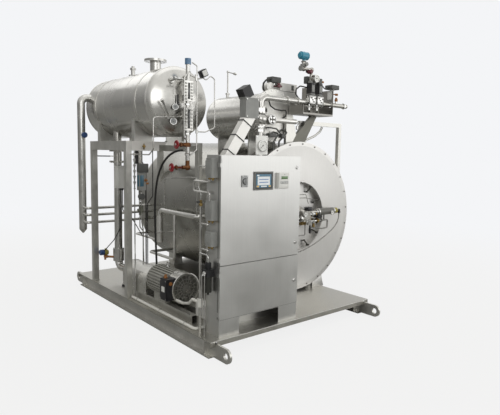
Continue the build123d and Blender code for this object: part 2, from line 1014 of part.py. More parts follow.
# Economiser: shell, flat front cover, dished rear end and the cradles under it
write("economiser_shell", lying_tube(eco_x, eco_z, eco_front, eco_rear, eco_radius, eco_radius - eco_wall))
eco_cover = rod(
    (eco_x, eco_front - eco_front_plate, eco_z),
    (eco_x, eco_front, eco_z),
    eco_radius + eco_plate_margin,
)
eco_end, eco_depth = dished(eco_x, eco_z, eco_rear, eco_radius, eco_wall, 1)
write("economiser_ends", eco_cover, eco_end)
eco_skin = rod((eco_x, eco_front, eco_z), (eco_x, eco_rear, eco_z), eco_radius + seat)
cradles = []
for y in cradle_positions:
    sides = (y - cradle_thickness / 2, y + cradle_thickness / 2)
    cradle = block(eco_x - cradle_half_width, eco_x + cradle_half_width, *sides, drum_z, eco_z)
    cradle = cradle - drum_skin - eco_skin
    cradles.append(max(solids_of(cradle), key=lambda solid: solid.center().Z))
write("economiser_cradles", cradles)
port = rod((eco_x, port_y, eco_z), (eco_x, port_y, port_z), port_neck_radius) - eco_skin
port = max(solids_of(port), key=lambda solid: solid.center().Z)
port += rod((eco_x, port_y - port_length / 2, port_z), (eco_x, port_y + port_length / 2, port_z), port_radius)
casing_front = eco_front + casing_setback
casing = block(
    casing_left, casing_right, casing_front, casing_front + casing_length, casing_bottom, casing_top
)
write("economiser_fittings", port, casing - eco_skin)

# Feed tank with dished ends, top nozzle and saddles
tank_bore = tank_radius - tank_wall
write("feed_tank_shell", lying_tube(tank_x, tank_z, tank_front, tank_rear, tank_radius, tank_bore))
tank_front_end, tank_depth = dished(tank_x, tank_z, tank_front, tank_radius, tank_wall, -1)
tank_rear_end, tank_depth = dished(tank_x, tank_z, tank_rear, tank_radius, tank_wall, 1)
write("feed_tank_ends", tank_front_end, tank_rear_end)
tank_skin = rod((tank_x, tank_front, tank_z), (tank_x, tank_rear, tank_z), tank_radius + seat)

nozzle = rod((tank_x, nozzle_y, tank_z), (tank_x, nozzle_y, nozzle_top), nozzle_radius)
nozzle += rod(
    (tank_x, nozzle_y, nozzle_top - nozzle_flange), (tank_x, nozzle_y, nozzle_top), nozzle_flange_radius
)
nozzle -= rod((tank_x, nozzle_y, tank_z), (tank_x, nozzle_y, nozzle_top), nozzle_radius - nozzle_wall)
for step in range(nozzle_bolt_count):
    turn = 2 * math.pi * (step + 1 / 2) / nozzle_bolt_count
    x = tank_x + nozzle_bolt_circle * math.cos(turn)
    y = nozzle_y + nozzle_bolt_circle * math.sin(turn)
    nozzle -= rod((x, y, nozzle_top - nozzle_flange), (x, y, nozzle_top), nozzle_bolt_radius)
write("feed_tank_nozzle", nozzle - tank_skin)

saddles = []
for y in (post_front, post_rear):
    middle = y + post / 2
    web = (middle - saddle_thickness / 2, middle + saddle_thickness / 2)
    saddle = block(tank_x - saddle_half_width, tank_x + saddle_half_width, *web, frame_top, tank_z)
    for side in (-1, 1):
        x = tank_x + side * (saddle_half_width - saddle_thickness / 2)
        rib = (x - saddle_thickness / 2, x + saddle_thickness / 2)
        saddle += block(*rib, y, y + post, frame_top, tank_z)
    saddle += block(
        tank_x - saddle_half_width,
        tank_x + saddle_half_width,
        y,
        y + post,
        frame_top,
        frame_top + saddle_thickness,
    )
    opening = (tank_x - saddle_half_gap, tank_x + saddle_half_gap)
    saddle -= block(*opening, y, y + post, frame_top, tank_z)
    saddles += solids_of(saddle - tank_skin)
write("feed_tank_saddles", saddles)

# Tank frame: two posts on the deck, a ring of beams and two struts on the drum
post_right = post_left + post
strut_right = strut_left + post
beam_bottom = frame_top - frame_beam
frame = None
for y in (post_front, post_rear):
    leg = block(post_left, post_right, y, y + post, deck_top, frame_top)
    leg += block(
        post_left - foot_plate_margin,
        post_right + foot_plate_margin,
        y - foot_plate_margin,
        y + post + foot_plate_margin,
        deck_top,
        deck_top + foot_plate,
    )
    strut = block(strut_left, strut_right, y, y + post, drum_z, frame_top) - drum_skin
    strut = max(solids_of(strut), key=lambda solid: solid.center().Z)
    beam_end = front_beam_end if y == post_front else strut_right
    side = leg + strut + block(post_left, beam_end, y, y + post, beam_bottom, frame_top)
    side += block(post_left, strut_right, y, y + post, frame_top - frame_tie, frame_top)
    frame = side if frame is None else frame + side
for x in (post_left, strut_left):
    frame += block(x, x + post, post_front, post_rear + post, beam_bottom, frame_top)
write("tank_frame", frame)

# Overflow pipe down the back and the three drains that lead from it to the drum
overflow_end = overflow_tip + overflow_cone
overflow = run(
    [
        (tank_x, overflow_y, overflow_z),
        (overflow_x, overflow_y, overflow_z),
        (overflow_x, overflow_y, overflow_end),
    ],
    overflow_radius,
    overflow_bend,
)
overflow += cone(
    (overflow_x, overflow_y, overflow_end),
    (overflow_x, overflow_y, overflow_tip),
    overflow_radius,
    overflow_tip_radius,
)
write("overflow_pipe", overflow - tank_skin)

overflow_skin = rod(
    (overflow_x, overflow_y, deck_top), (overflow_x, overflow_y, tank_z), overflow_radius + seat
)
drains = []
for z in drain_heights:
    drain = run(
        [(overflow_x, overflow_y, z), (overflow_x, drain_turn_y, z), (drum_x, drain_turn_y, z)],
        drain_radius,
        drain_bend,
    )
    drain = drain - overflow_skin - drum_skin
    drains.append(min(solids_of(drain), key=lambda solid: solid.center().X))
write("drain_lines", drains)

# Suction line with its valve, lever, strainer and junction box
suction = run(
    [
        (suction_x, suction_y, valve_bottom),
        (suction_x, suction_y, suction_bottom),
        (suction_x, hood_rear, suction_bottom),
    ],
    suction_radius,
    suction_bend,
)
suction += rod(
    (suction_x, suction_y, strainer_top - strainer_length / 2),
    (suction_x, suction_y, strainer_top + strainer_length / 2),
    strainer_radius,
)
write("suction_pipe", suction)

valve = rod((suction_x, suction_y, valve_bottom), (suction_x, suction_y, valve_top), valve_body_radius)
for foot in (valve_bottom, valve_top - valve_flange):
    valve += rod(
        (suction_x, suction_y, foot), (suction_x, suction_y, foot + valve_flange), valve_flange_radius
    )
valve += rod((suction_x, suction_y, valve_top), (suction_x, suction_y, tank_z), suction_radius)
valve_mid = (valve_bottom + valve_top) / 2
valve += block(
    suction_x - lever_length,
    suction_x,
    suction_y - lever_width / 2,
    suction_y + lever_width / 2,
    valve_mid - lever_thickness / 2,
    valve_mid + lever_thickness / 2,
)
write("tank_outlet_valve", valve - tank_skin)

junction = block(
    junction_left,
    junction_left + junction_width,
    junction_front,
    junction_front + junction_depth,
    junction_bottom,
    junction_bottom + junction_height,
)
bracket_z = junction_bottom + junction_height / 2
bracket = block(
    suction_x - junction_bracket / 2,
    suction_x + junction_bracket / 2,
    junction_front + junction_depth,
    suction_y,
    bracket_z - junction_bracket / 2,
    bracket_z + junction_bracket / 2,
)
suction_skin = rod(
    (suction_x, suction_y, suction_bottom), (suction_x, suction_y, valve_top), suction_radius + seat
)
write("junction_box", junction + (bracket - suction_skin))

# Pump set: base rails, hood over the pump, ribbed motor, fan cover and terminal box
rail_top = deck_top + rail_height
rails = []
for side in (-1, 1):
    x = pump_x + side * rail_offset
    rail = block(x - rail_width / 2, x + rail_width / 2, rail_front, rail_rear, deck_top, rail_top)
    rail -= block(
        x - rail_width / 2 + rail_wall,
        x + rail_width / 2 - rail_wall,
        rail_front,
        rail_rear,
        deck_top,
        rail_top - rail_wall,
    )
    rails.append(rail)
write("pump_base_rails", rails)

hood = rod((pump_x, hood_front, hood_z), (pump_x, hood_rear, hood_z), hood_radius)
hood += block(pump_x - hood_radius, pump_x + hood_radius, hood_front, hood_rear, rail_top, hood_z)
hood -= block(pump_x - hood_radius, pump_x + hood_radius, hood_front, hood_rear, deck_top, rail_top)
write("pump_hood", hood)

fin_tip = motor_radius + fin_height
outline = []
for step in range(fin_count):
    pitch = 2 * math.pi / fin_count
    start = step * pitch
    for radius, share in ((motor_radius, 0), (fin_tip, 0), (fin_tip, fin_share), (motor_radius, fin_share)):
        turn = start + share * pitch
        outline.append((pump_x + radius * math.cos(turn), motor_z + radius * math.sin(turn)))
motor = slanted(outline, motor_front, motor_rear)
motor += rod((pump_x, motor_rear, motor_z), (pump_x, motor_rear + motor_flange, motor_z), motor_flange_radius)
motor += rod((pump_x, motor_rear, motor_z), (pump_x, hood_front, motor_z), motor_shaft_radius)
foot_middle = (motor_front + motor_rear) / 2
for side in (-1, 1):
    x = pump_x + side * rail_offset
    motor += block(
        x - motor_foot_width / 2,
        x + motor_foot_width / 2,
        foot_middle - motor_foot_length / 2,
        foot_middle + motor_foot_length / 2,
        rail_top,
        motor_z - motor_radius / 2,
    )
write("pump_motor", motor)

fan = rod((pump_x, fan_front, motor_z), (pump_x, motor_front, motor_z), fan_radius)
fan -= rod((pump_x, fan_front + fan_wall, motor_z), (pump_x, motor_front, motor_z), fan_radius - fan_wall)
grille = rod((pump_x, fan_front, motor_z), (pump_x, fan_front + fan_wall, motor_z), fan_radius - fan_lip)
for radius in (fan_hub_radius, *fan_rings):
    ends = ((pump_x, fan_front, motor_z), (pump_x, fan_front + fan_wall, motor_z))
    ring = rod(*ends, radius)
    if radius > fan_hub_radius:
        ring -= rod(*ends, radius - fan_spoke)
    grille -= ring
for step in range(fan_spokes):
    turn = 180 * step / fan_spokes
    bar = Box(2 * fan_radius, fan_wall, fan_spoke)
    grille -= Pos(pump_x, fan_front + fan_wall / 2, motor_z) * Rot(0, turn, 0) * bar
write("motor_fan_cover", fan - grille)

terminal_right = pump_x - motor_radius / 2
terminal = block(
    pump_x - fin_tip - terminal_depth,
    terminal_right,
    terminal_front,
    terminal_front + terminal_length,
    terminal_bottom,
    terminal_bottom + terminal_height,
)
fan_skin = rod((pump_x, fan_front, motor_z), (pump_x, motor_front, motor_z), fan_radius + seat)
write("motor_terminal_box", terminal - fan_skin)

# Level gauge with its two windows, seated on the front end of the feed tank
gauge = rod((gauge_x, gauge_y, gauge_bottom), (gauge_x, gauge_y, gauge_top), gauge_radius)
for low_share, high_share in gauge_window_shares:
    low = gauge_bottom + low_share * gauge_height
    high = gauge_bottom + high_share * gauge_height
    half = gauge_body_width / 2
    face = gauge_y - gauge_body_depth / 2
    gauge += block(gauge_x - half, gauge_x + half, face, gauge_y + gauge_body_depth / 2, low, high)
    gauge -= block(
        gauge_x - gauge_window_width / 2,
        gauge_x + gauge_window_width / 2,
        face,
        face + gauge_window_depth,
        low + gauge_window_margin,
        high - gauge_window_margin,
    )
crown_ball = Pos(tank_x, tank_front + crown_share * tank_radius - tank_depth, tank_z)
crown_ball = crown_ball * Sphere(crown_share * tank_radius + seat)
for share in gauge_nozzle_shares:
    z = gauge_bottom + share * gauge_height
    arm = rod((gauge_x, gauge_y, z), (gauge_x, tank_front, z), gauge_nozzle_radius) - crown_ball
    gauge += arm
    flange_y = gauge_y + gauge_body_depth
    gauge += rod(
        (gauge_x, flange_y, z), (gauge_x, flange_y + gauge_flange, z), gauge_flange_radius
    )
hose_exit = hose_route[0]
gauge += rod((gauge_x, gauge_y, hose_exit[2]), hose_exit, hose_tail_radius)
write("level_gauge", gauge)
write("drain_hose", cord(hose_route, hose_radius))
cap = rod((gauge_x, gauge_y, gauge_top), (gauge_x, gauge_y, gauge_top + gauge_cap_height), gauge_cap_radius)
write("level_gauge_cap", cap)

# Stop valves on the gauge column; each handwheel turns on the end of its own stem


def stop_valve(wheel_x, z, radius):
    """The bronze body on the column and the stem that carries the wheel."""
    body = Pos(gauge_x, gauge_y, z) * Sphere(valve_ball_radius)
    bonnet_end = gauge_x - valve_ball_radius - bonnet_length
    body += rod((gauge_x, gauge_y, z), (bonnet_end, gauge_y, z), bonnet_radius)
    stem_end = wheel_x + wheel_hub_length / 2 + seat
    body += rod((bonnet_end, gauge_y, z), (stem_end, gauge_y, z), radius)
    return body


def handwheel(wheel_x, z):
    """A rim, a hub and the spokes between them, square to the stem."""
    half = wheel_hub_length / 2
    wheel = Pos(wheel_x, gauge_y, z) * Rot(0, 90, 0) * Torus(wheel_radius - wheel_rim, wheel_rim)
    wheel += rod((wheel_x - half, gauge_y, z), (wheel_x + half, gauge_y, z), wheel_hub_radius)
    for step in range(wheel_spokes):
        turn = 2 * math.pi * step / wheel_spokes
        reach = wheel_radius - wheel_rim
        tip = (wheel_x, gauge_y + reach * math.sin(turn), z + reach * math.cos(turn))
        wheel += rod((wheel_x, gauge_y, z), tip, wheel_spoke_radius)
    return wheel


column = rod((gauge_x, gauge_y, gauge_bottom), (gauge_x, gauge_y, gauge_top), gauge_radius + seat)
upper_valve = stop_valve(upper_wheel_x, upper_wheel_z, stem_radius) - column
lower_valve = stop_valve(lower_wheel_x, lower_wheel_z, lower_stem_radius)
lower_valve += rod((gauge_x, gauge_y, lower_wheel_z), (gauge_x, gauge_y, gauge_bottom), gauge_radius)
upper_solids = solids_of(upper_valve)
write("gauge_stop_valves", [max(upper_solids, key=lambda solid: solid.volume), lower_valve])
write("upper_handwheel", handwheel(upper_wheel_x, upper_wheel_z))
write("lower_handwheel", handwheel(lower_wheel_x, lower_wheel_z))

# Pipework on the left flank of the drum
feed = run(
    [
        (flank_x, feed_rear_y, feed_low),
        (flank_x, feed_rear_y, feed_height),
        (flank_x, feed_front_y, feed_height),
        (drum_x, feed_front_y, feed_height),
    ],
    feed_radius,
    feed_bend,
)
feed += rod((flank_x, feed_rear_y, feed_low), (flank_x, feed_rear_y, lagging_top), lagging_radius)
feed += run(
    [
        (flank_x, branch_y, feed_height),
        (flank_x, branch_y, branch_low),
        (flank_x, low_rear_y, branch_low),
        (drum_x, low_rear_y, branch_low),
    ],
    branch_radius,
    branch_bend,
)
feed += run(
    [
        (flank_x, feed_rear_y, small_height),
        (flank_x, small_rear_y, small_height),
        (drum_x, small_rear_y, small_height),
    ],
    small_radius,
    small_bend,
)
feed = feed - drum_skin
write("flank_pipework", min(solids_of(feed), key=lambda solid: solid.center().X))

# Air valves, instrument riser, filter and cable box at the cabinet's left side
side_valves = []
for low_drop, high_drop in side_valve_drops:
    low = cabinet_top - low_drop
    high = cabinet_top - high_drop
    left = cabinet_left - side_valve_depth
    sides = (side_valve_y - side_valve_width / 2, side_valve_y + side_valve_width / 2)
    housing = block(left, cabinet_left, *sides, low, high)
    corners = housing.edges().filter_by(Axis.Z).group_by(Axis.X)[0]
    housing = fillet(corners, side_valve_round)
    side_valves.append(housing)
write("side_valves", side_valves)

riser = rod((riser_x, riser_y, deck_top), (riser_x, riser_y, riser_top), riser_radius)
for low_drop, high_drop in side_valve_drops:
    low = cabinet_top - low_drop
    z = low - tap_drop
    if z < riser_top:
        inner = side_valve_y + side_valve_width / 2 - elbow_radius
        riser += rod((riser_x, riser_y, z), (riser_x, inner, z), tap_radius)
        riser += rod((riser_x, inner, z), (riser_x, inner, low), tap_radius)
        riser += Pos(riser_x, inner, z) * Sphere(elbow_radius)
write("instrument_riser", riser)

bowl_top = filter_bottom + filter_tip_height + filter_bowl_height
head_top = bowl_top + filter_head_height
filter_set = rod(
    (filter_x, filter_y, filter_bottom),
    (filter_x, filter_y, filter_bottom + filter_tip_height),
    filter_tip_radius,
)
filter_set += rod(
    (filter_x, filter_y, filter_bottom + filter_tip_height),
    (filter_x, filter_y, bowl_top),
    filter_bowl_radius,
)
half = filter_head_width / 2
filter_set += block(filter_x - half, cabinet_left, filter_y - half, filter_y + half, bowl_top, head_top)
filter_set += rod(
    (filter_x, filter_y, head_top), (filter_x, filter_y, head_top + filter_knob_height), filter_knob_radius
)
write("air_filter", filter_set)

cable_box = block(
    cabinet_left,
    cabinet_left + cable_box_width,
    cabinet_back,
    cabinet_back + cable_box_depth,
    cable_box_bottom,
    cable_box_bottom + cable_box_height,
)

# Cable duct that climbs to the actuator, with a tab on the cabinet's back
climb = math.hypot(duct_head_x - duct_foot_x, duct_head_z - duct_foot_z)
across = (
    (duct_head_z - duct_foot_z) / climb * duct_width / 2,
    -(duct_head_x - duct_foot_x) / climb * duct_width / 2,
)
duct_outline = [
    (duct_foot_x - across[0], duct_foot_z - across[1]),
    (duct_head_x - across[0], duct_head_z - across[1]),
    (duct_head_x + across[0], duct_head_z + across[1]),
    (duct_foot_x + across[0], duct_foot_z + across[1]),
]
duct = slanted(duct_outline, duct_y - duct_depth / 2, duct_y + duct_depth / 2)
duct += block(
    duct_foot_x - duct_tab,
    duct_foot_x + duct_tab,
    cabinet_back,
    duct_y,
    duct_foot_z - duct_tab,
    duct_foot_z + duct_tab,
)
write("cable_ducts", duct, cable_box)

duct_skin = slanted(duct_outline, duct_y - duct_depth / 2, duct_y + duct_depth / 2)
body = block(
    actuator_body_left,
    actuator_body_right,
    actuator_y - actuator_body_depth / 2,
    actuator_y + actuator_body_depth / 2,
    actuator_body_bottom - actuator_size / 2,
    actuator_body_top,
)
body = body - duct_skin
body = max(solids_of(body), key=lambda solid: solid.center().Z)
motor_box = Pos(actuator_x, actuator_y, actuator_z) * Rot(0, -actuator_tilt, 0)
body += motor_box * Box(actuator_size, actuator_depth, actuator_size)
write("damper_actuator", body)

# Gas line from the valve train down to the burner
gas = run(
    [
        (train_left, gas_y, gas_z),
        (gas_x, gas_y, gas_z),
        (gas_x, gas_y, gas_burner_z),
        (drum_x - gas_block_width / 2, gas_y, gas_burner_z),
    ],
    gas_radius,
    gas_bend,
)
gas += run(
    [
        (gas_x + gas_elbow_leg, gas_y, gas_z),
        (gas_x, gas_y, gas_z),
        (gas_x, gas_y, gas_z - gas_elbow_leg),
    ],
    gas_elbow_radius,
    gas_bend,
)
for x in gas_ring_positions:
    ends = ((x - gas_ring_width / 2, gas_y, gas_z), (x + gas_ring_width / 2, gas_y, gas_z))
    gas += rod(*ends, gas_ring_radius)
for drop, radius, length in unions:
    level = gas_z - drop
    ends = ((gas_x, gas_y, level - length / 2), (gas_x, gas_y, level + length / 2))
    gas += rod(*ends, radius)
gas += Pos(gas_x, gas_y, ball_level) * Sphere(ball_radius)
for way in (-1, 1):
    middle = ball_level + way * ball_flange_offset
    ends = ((gas_x, gas_y, middle - ball_flange / 2), (gas_x, gas_y, middle + ball_flange / 2))
    gas += rod(*ends, ball_flange_radius)
cap_x = gas_x + ball_boss_reach
gas += rod((gas_x, gas_y, ball_level), (cap_x, gas_y, ball_level), ball_boss_radius)
gas += rod((cap_x, gas_y, ball_level), (cap_x, gas_y - ball_cap_reach, ball_level), ball_cap_radius)
gas += rod((gas_x, gas_y, ball_level), (lever_tube_end, gas_y, ball_level), lever_tube_radius)
write("gas_line", gas)

gauge_plate_front = gas_y - gas_radius - gauge_plate_thickness
gauge_plate_top = gauge_plate_bottom + gauge_plate_height
panel = block(
    gas_x - gauge_plate_width / 2,
    gas_x + gauge_plate_width / 2,
    gauge_plate_front,
    gauge_plate_front + gauge_plate_thickness,
    gauge_plate_bottom,
    gauge_plate_top,
)
dial_face = gauge_plate_front - dial_depth
panel += rod((gas_x, gauge_plate_front, dial_z), (gas_x, dial_face, dial_z), dial_radius)
panel -= rod(
    (gas_x, dial_face, dial_z), (gas_x, dial_face + dial_recess, dial_z), dial_radius - dial_bezel
)
write("pressure_gauge", panel)

# Valve station: an open tray with a low left wall, a tall right wall and a divider
station_rear = eco_front - eco_front_plate - station_rear_gap
floor_top = station_bottom + station_sheet
station = block(station_left, station_right, station_front, station_rear, station_bottom, floor_top)
station += block(
    station_left,
    station_left + station_sheet,
    station_front,
    station_rear,
    station_bottom,
    station_bottom + station_left_height,
)
station += block(
    station_right - station_sheet,
    station_right,
    station_front,
    station_rear,
    station_bottom,
    station_bottom + station_right_height,
)
station += block(
    station_left,
    station_right,
    station_front,
    station_front + station_sheet,
    station_bottom,
    station_bottom + station_lip,
)
station += block(
    station_divider_x - station_sheet / 2,
    station_divider_x + station_sheet / 2,
    gas_y + valve_body_radius + station_divider_gap,
    station_rear,
    station_bottom,
    station_bottom + station_divider_height,
)
stub_end = station_right + stub_reach
station -= rod((train_right, gas_y, gas_z), (stub_end, gas_y, gas_z), stub_radius + stub_clearance)
write("valve_station", station)

# Valve train: two valves on posts, their black heads, the riser to the transmitter and the outlet stub
train = rod((train_left, gas_y, gas_z), (train_right, gas_y, gas_z), train_radius)
train += rod((train_right, gas_y, gas_z), (stub_end, gas_y, gas_z), stub_radius)
valve_top_low = gas_z + valve_top_rise
valve_top_high = valve_top_low + valve_top_height
for x in valve_positions:
    ends = ((x - valve_body_width / 2, gas_y, gas_z), (x + valve_body_width / 2, gas_y, gas_z))
    train += rod(*ends, valve_body_radius)
    train += rod((x, gas_y, floor_top), (x, gas_y, gas_z), valve_post_radius)
    train += block(
        x - valve_top_width / 2,
        x + valve_top_width / 2,
        gas_y - valve_top_depth / 2,
        gas_y + valve_top_depth / 2,
        valve_top_low,
        valve_top_high,
    )
train += rod((stack_x, gas_y, valve_top_high), (stack_x, gas_y, stack_arm_z), stack_stem_radius)
train += rod((stack_x, gas_y, stack_arm_z), (stack_head_x, gas_y, stack_arm_z), stack_stem_radius)
train += rod((stack_head_x, gas_y, stack_arm_z), (stack_head_x, gas_y, stack_stem_top), stack_stem_radius)
for x in (stack_x, stack_head_x):
    train += Pos(x, gas_y, stack_arm_z) * Sphere(stack_joint_radius)
stack_dial_x = stack_x + stack_dial_offset
dial_ends = ((stack_dial_x, gas_y, stack_dial_z), (stack_dial_x, gas_y - stack_dial_depth, stack_dial_z))
train += rod(*dial_ends, stack_dial_radius)
write("valve_stack", train)

transmitter = rod(
    (stack_head_x - transmitter_length / 2, gas_y, transmitter_z),
    (stack_head_x + transmitter_length / 2, gas_y, transmitter_z),
    transmitter_radius,
)
neck_ends = ((stack_head_x, gas_y, stack_stem_top), (stack_head_x, gas_y, transmitter_z))
transmitter += rod(*neck_ends, transmitter_neck_radius)
write("pressure_transmitter", transmitter)

bracket_sides = (bracket_y - bracket_thickness / 2, bracket_y + bracket_thickness / 2)
drum_crest = drum_z + drum_radius
v_outline = [
    (bracket_tip_left, drum_crest - bracket_tip_sink),
    (bracket_tip_right, drum_crest - bracket_tip_sink),
    (bracket_right_x, station_bottom),
    (bracket_right_x - bracket_right_arm, station_bottom),
    (bracket_notch_x, drum_crest + bracket_notch_rise),
    (bracket_tip_left + bracket_left_arm, station_bottom),
    (bracket_tip_left, station_bottom),
]
v_bracket = slanted(v_outline, *bracket_sides) - drum_skin
v_bracket = max(solids_of(v_bracket), key=lambda solid: solid.center().Z)

# Side portal between the drum's flank and the valve station
half = portal_size / 2
portal = block(
    portal_x - half, portal_x + half, portal_y - half, portal_y + half, drum_z, portal_top
)
portal = portal - drum_skin
portal = max(solids_of(portal), key=lambda solid: solid.center().Z)
portal += block(
    portal_left, portal_x + half, portal_y - half, portal_y + half, portal_top - portal_size, portal_top
)
portal_leg = block(
    portal_left, portal_left + portal_size, portal_y - half, portal_y + half, drum_z, portal_top
)
portal_leg = portal_leg - drum_skin
portal += max(solids_of(portal_leg), key=lambda solid: solid.center().Z)
write("station_supports", v_bracket, portal)

# Level transmitter under the front beam of the tank frame
hanger = block(
    hanger_x - hanger_width / 2,
    hanger_x + hanger_width / 2,
    post_front,
    post_front + hanger_thickness,
    hanger_bottom,
    beam_bottom,
)
hanger += block(
    hanger_x - head_box_width / 2,
    hanger_x + head_box_width / 2,
    post_front - head_box_depth,
    post_front,
    head_box_z,
    head_box_z + head_box_height,
)
hanger += rod(
    (hanger_x, post_front - hanger_knob_length, hanger_knob_z),
    (hanger_x, post_front, hanger_knob_z),
    hanger_knob_radius,
)
write("level_transmitter", hanger)

# Conduit on the deck
conduit_z = deck_top + conduit_radius
conduit = run(
    [
        (conduit_x, conduit_rear, conduit_z),
        (conduit_x, conduit_front, conduit_z),
        (cabinet_left + conduit_rise, conduit_front, conduit_z),
    ],
    conduit_radius,
    conduit_bend,
)
write("deck_conduit", conduit)
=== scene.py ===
import math

import bmesh
import bpy
from mathutils import Matrix, Vector


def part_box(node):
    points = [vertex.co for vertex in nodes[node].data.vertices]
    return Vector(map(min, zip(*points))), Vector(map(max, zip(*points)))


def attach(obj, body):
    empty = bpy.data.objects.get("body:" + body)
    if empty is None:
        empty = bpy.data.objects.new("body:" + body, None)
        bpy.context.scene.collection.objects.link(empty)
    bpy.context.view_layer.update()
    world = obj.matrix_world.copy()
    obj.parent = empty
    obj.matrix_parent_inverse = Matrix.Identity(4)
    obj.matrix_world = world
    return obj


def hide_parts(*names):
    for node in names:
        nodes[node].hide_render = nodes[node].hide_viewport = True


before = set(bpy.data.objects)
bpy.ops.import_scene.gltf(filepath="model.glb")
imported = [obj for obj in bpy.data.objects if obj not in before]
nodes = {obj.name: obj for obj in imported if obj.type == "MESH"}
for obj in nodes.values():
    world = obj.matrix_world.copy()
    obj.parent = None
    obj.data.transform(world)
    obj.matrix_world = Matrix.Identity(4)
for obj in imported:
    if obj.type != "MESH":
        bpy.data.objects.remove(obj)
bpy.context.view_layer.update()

# Places in metres, as in the part's own frame: X along the front, Y to the back, Z up
DRUM = Vector((0.604, 0.0, 0.990))
DRUM_FRONT = -0.774
PLATE_RADIUS = 0.816
RIM_BAND = 0.046
CUP_RADIUS = 0.388
TANK = Vector((-0.623, 0.0, 2.168))
TANK_RADIUS = 0.344
TANK_FRONT = -0.229
TANK_REAR = 1.229
ECO = Vector((0.300, 0.0, 2.070))
ECO_RADIUS = 0.245
CABINET_FRONT = -1.390
CABINET_LEFT = -0.909
GAUGE_X = -0.629
GAUGE_Y = -0.450
DECK_TOP = 0.146
SIDE_VALVE_X = -0.938
# The plane of the burner's fittings, the gas line and the valve train
TRAIN_Y = -0.850
PUMP_X = -0.790
MOTOR_Z = 0.388
# A low screw head, as (height, radius) in millimetres
SCREW_HEAD = [(0, 5), (2, 4.6), (3, 0)]
FRONT = (0, -1, 0)
BACK = (0, 1, 0)
UP = (0, 0, 1)
DOWN = (0, 0, -1)
LEFT = (-1, 0, 0)
RIGHT = (1, 0, 0)
# The way the photograph looks, toward its pale background
BACKDROP_WAY = (0.635, 0.765, -0.110)
BACKDROP = "#f4f5f7"
CAMERA_PLACE = (-3.2345, -4.5608, 1.6723)


def linear(hex_colour):
    """Turns an sRGB hex value into the linear colour that shaders take."""
    channels = [int(hex_colour[i:i + 2], 16) / 255 for i in (1, 3, 5)]
    curve = [c / 12.92 if c <= 0.04045 else ((c + 0.055) / 1.055) ** 2.4 for c in channels]
    return (*curve, 1.0)


def add_node(tree, kind, settings=None, values=None, links=None):
    """Adds one node with its settings, its constant inputs and its links."""
    made = tree.nodes.new(kind)
    for name, value in (settings or {}).items():
        setattr(made, name, value)
    for name, value in (values or {}).items():
        made.inputs[name].default_value = value
    for name, socket in (links or {}).items():
        tree.links.new(socket, made.inputs[name])
    return made


def blank_material(name):
    """A new material with only its shader and output, and the object coordinates."""
    material = bpy.data.materials.new(name)
    material.use_nodes = True
    tree = material.node_tree
    tree.nodes.clear()
    shader = add_node(tree, "ShaderNodeBsdfPrincipled")
    add_node(tree, "ShaderNodeOutputMaterial", links={"Surface": shader.outputs[0]})
    place = add_node(tree, "ShaderNodeTexCoord").outputs["Object"]
    return material, tree, shader, place


def grained(tree, place, grain_mm, cloud_mm):
    """Two noises: fine grain stretched as the finish was worked, and slow clouds of handling."""
    stretch = tuple(1000 / size for size in grain_mm)
    mapped = add_node(tree, "ShaderNodeMapping", values={"Scale": stretch}, links={"Vector": place})
    grain = add_node(
        tree,
        "ShaderNodeTexNoise",
        values={"Scale": 1.0, "Detail": 3.0, "Roughness": 0.6},
        links={"Vector": mapped.outputs[0]},
    )
    cloud = add_node(
        tree,
        "ShaderNodeTexNoise",
        values={"Scale": 1000 / cloud_mm, "Detail": 4.0, "Roughness": 0.55, "Distortion": 0.4},
        links={"Vector": place},
    )
    return grain.outputs["Fac"], cloud.outputs["Fac"]


def dress(tree, shader, grain, cloud, pale, dark, rough, rough_spread, relief, relief_mm):
    """Links grain and clouds to a shader's colour, roughness and bump."""
    both = add_node(
        tree,
        "ShaderNodeMath",
        {"operation": "MULTIPLY_ADD"},
        {1: 0.55},
        {0: grain, 2: cloud},
    )
    share = add_node(
        tree,
        "ShaderNodeMapRange",
        values={"From Min": 0.45, "From Max": 1.15},
        links={"Value": both.outputs[0]},
    )
    tint = add_node(
        tree,
        "ShaderNodeMix",
        {"data_type": "RGBA"},
        {6: linear(dark), 7: linear(pale)},
        {0: share.outputs[0]},
    )
    tree.links.new(tint.outputs[2], shader.inputs["Base Color"])
    gloss = add_node(
        tree,
        "ShaderNodeMapRange",
        values={
            "From Min": 0.3,
            "From Max": 0.7,
            "To Min": rough - rough_spread,
            "To Max": rough + rough_spread,
        },
        links={"Value": cloud},
    )
    tree.links.new(gloss.outputs[0], shader.inputs["Roughness"])
    bump = add_node(
        tree,
        "ShaderNodeBump",
        values={"Strength": relief, "Distance": relief_mm / 1000},
        links={"Height": grain},
    )
    tree.links.new(bump.outputs[0], shader.inputs["Normal"])
    return tint


def metal(name, pale, dark, rough, grain_mm, cloud_mm=260, spread=0.05, relief=0.12):
    """A bare metal whose grain follows the way its surface was worked."""
    material, tree, shader, place = blank_material(name)
    shader.inputs["Metallic"].default_value = 1.0
    grain, cloud = grained(tree, place, grain_mm, cloud_mm)
    dress(tree, shader, grain, cloud, pale, dark, rough, spread, relief, 0.4)
    return material


def coating(name, pale, dark, rough, grain_mm=(3, 3, 3), cloud_mm=120, relief=0.1, coat=0.0):
    """Paint, plastic or rubber: a colour with fine skin texture and faint dust."""
    material, tree, shader, place = blank_material(name)
    shader.inputs["Coat Weight"].default_value = coat
    shader.inputs["Coat Roughness"].default_value = 0.12
    grain, cloud = grained(tree, place, grain_mm, cloud_mm)
    dress(tree, shader, grain, cloud, pale, dark, rough, 0.06, relief, 0.3)
    return material


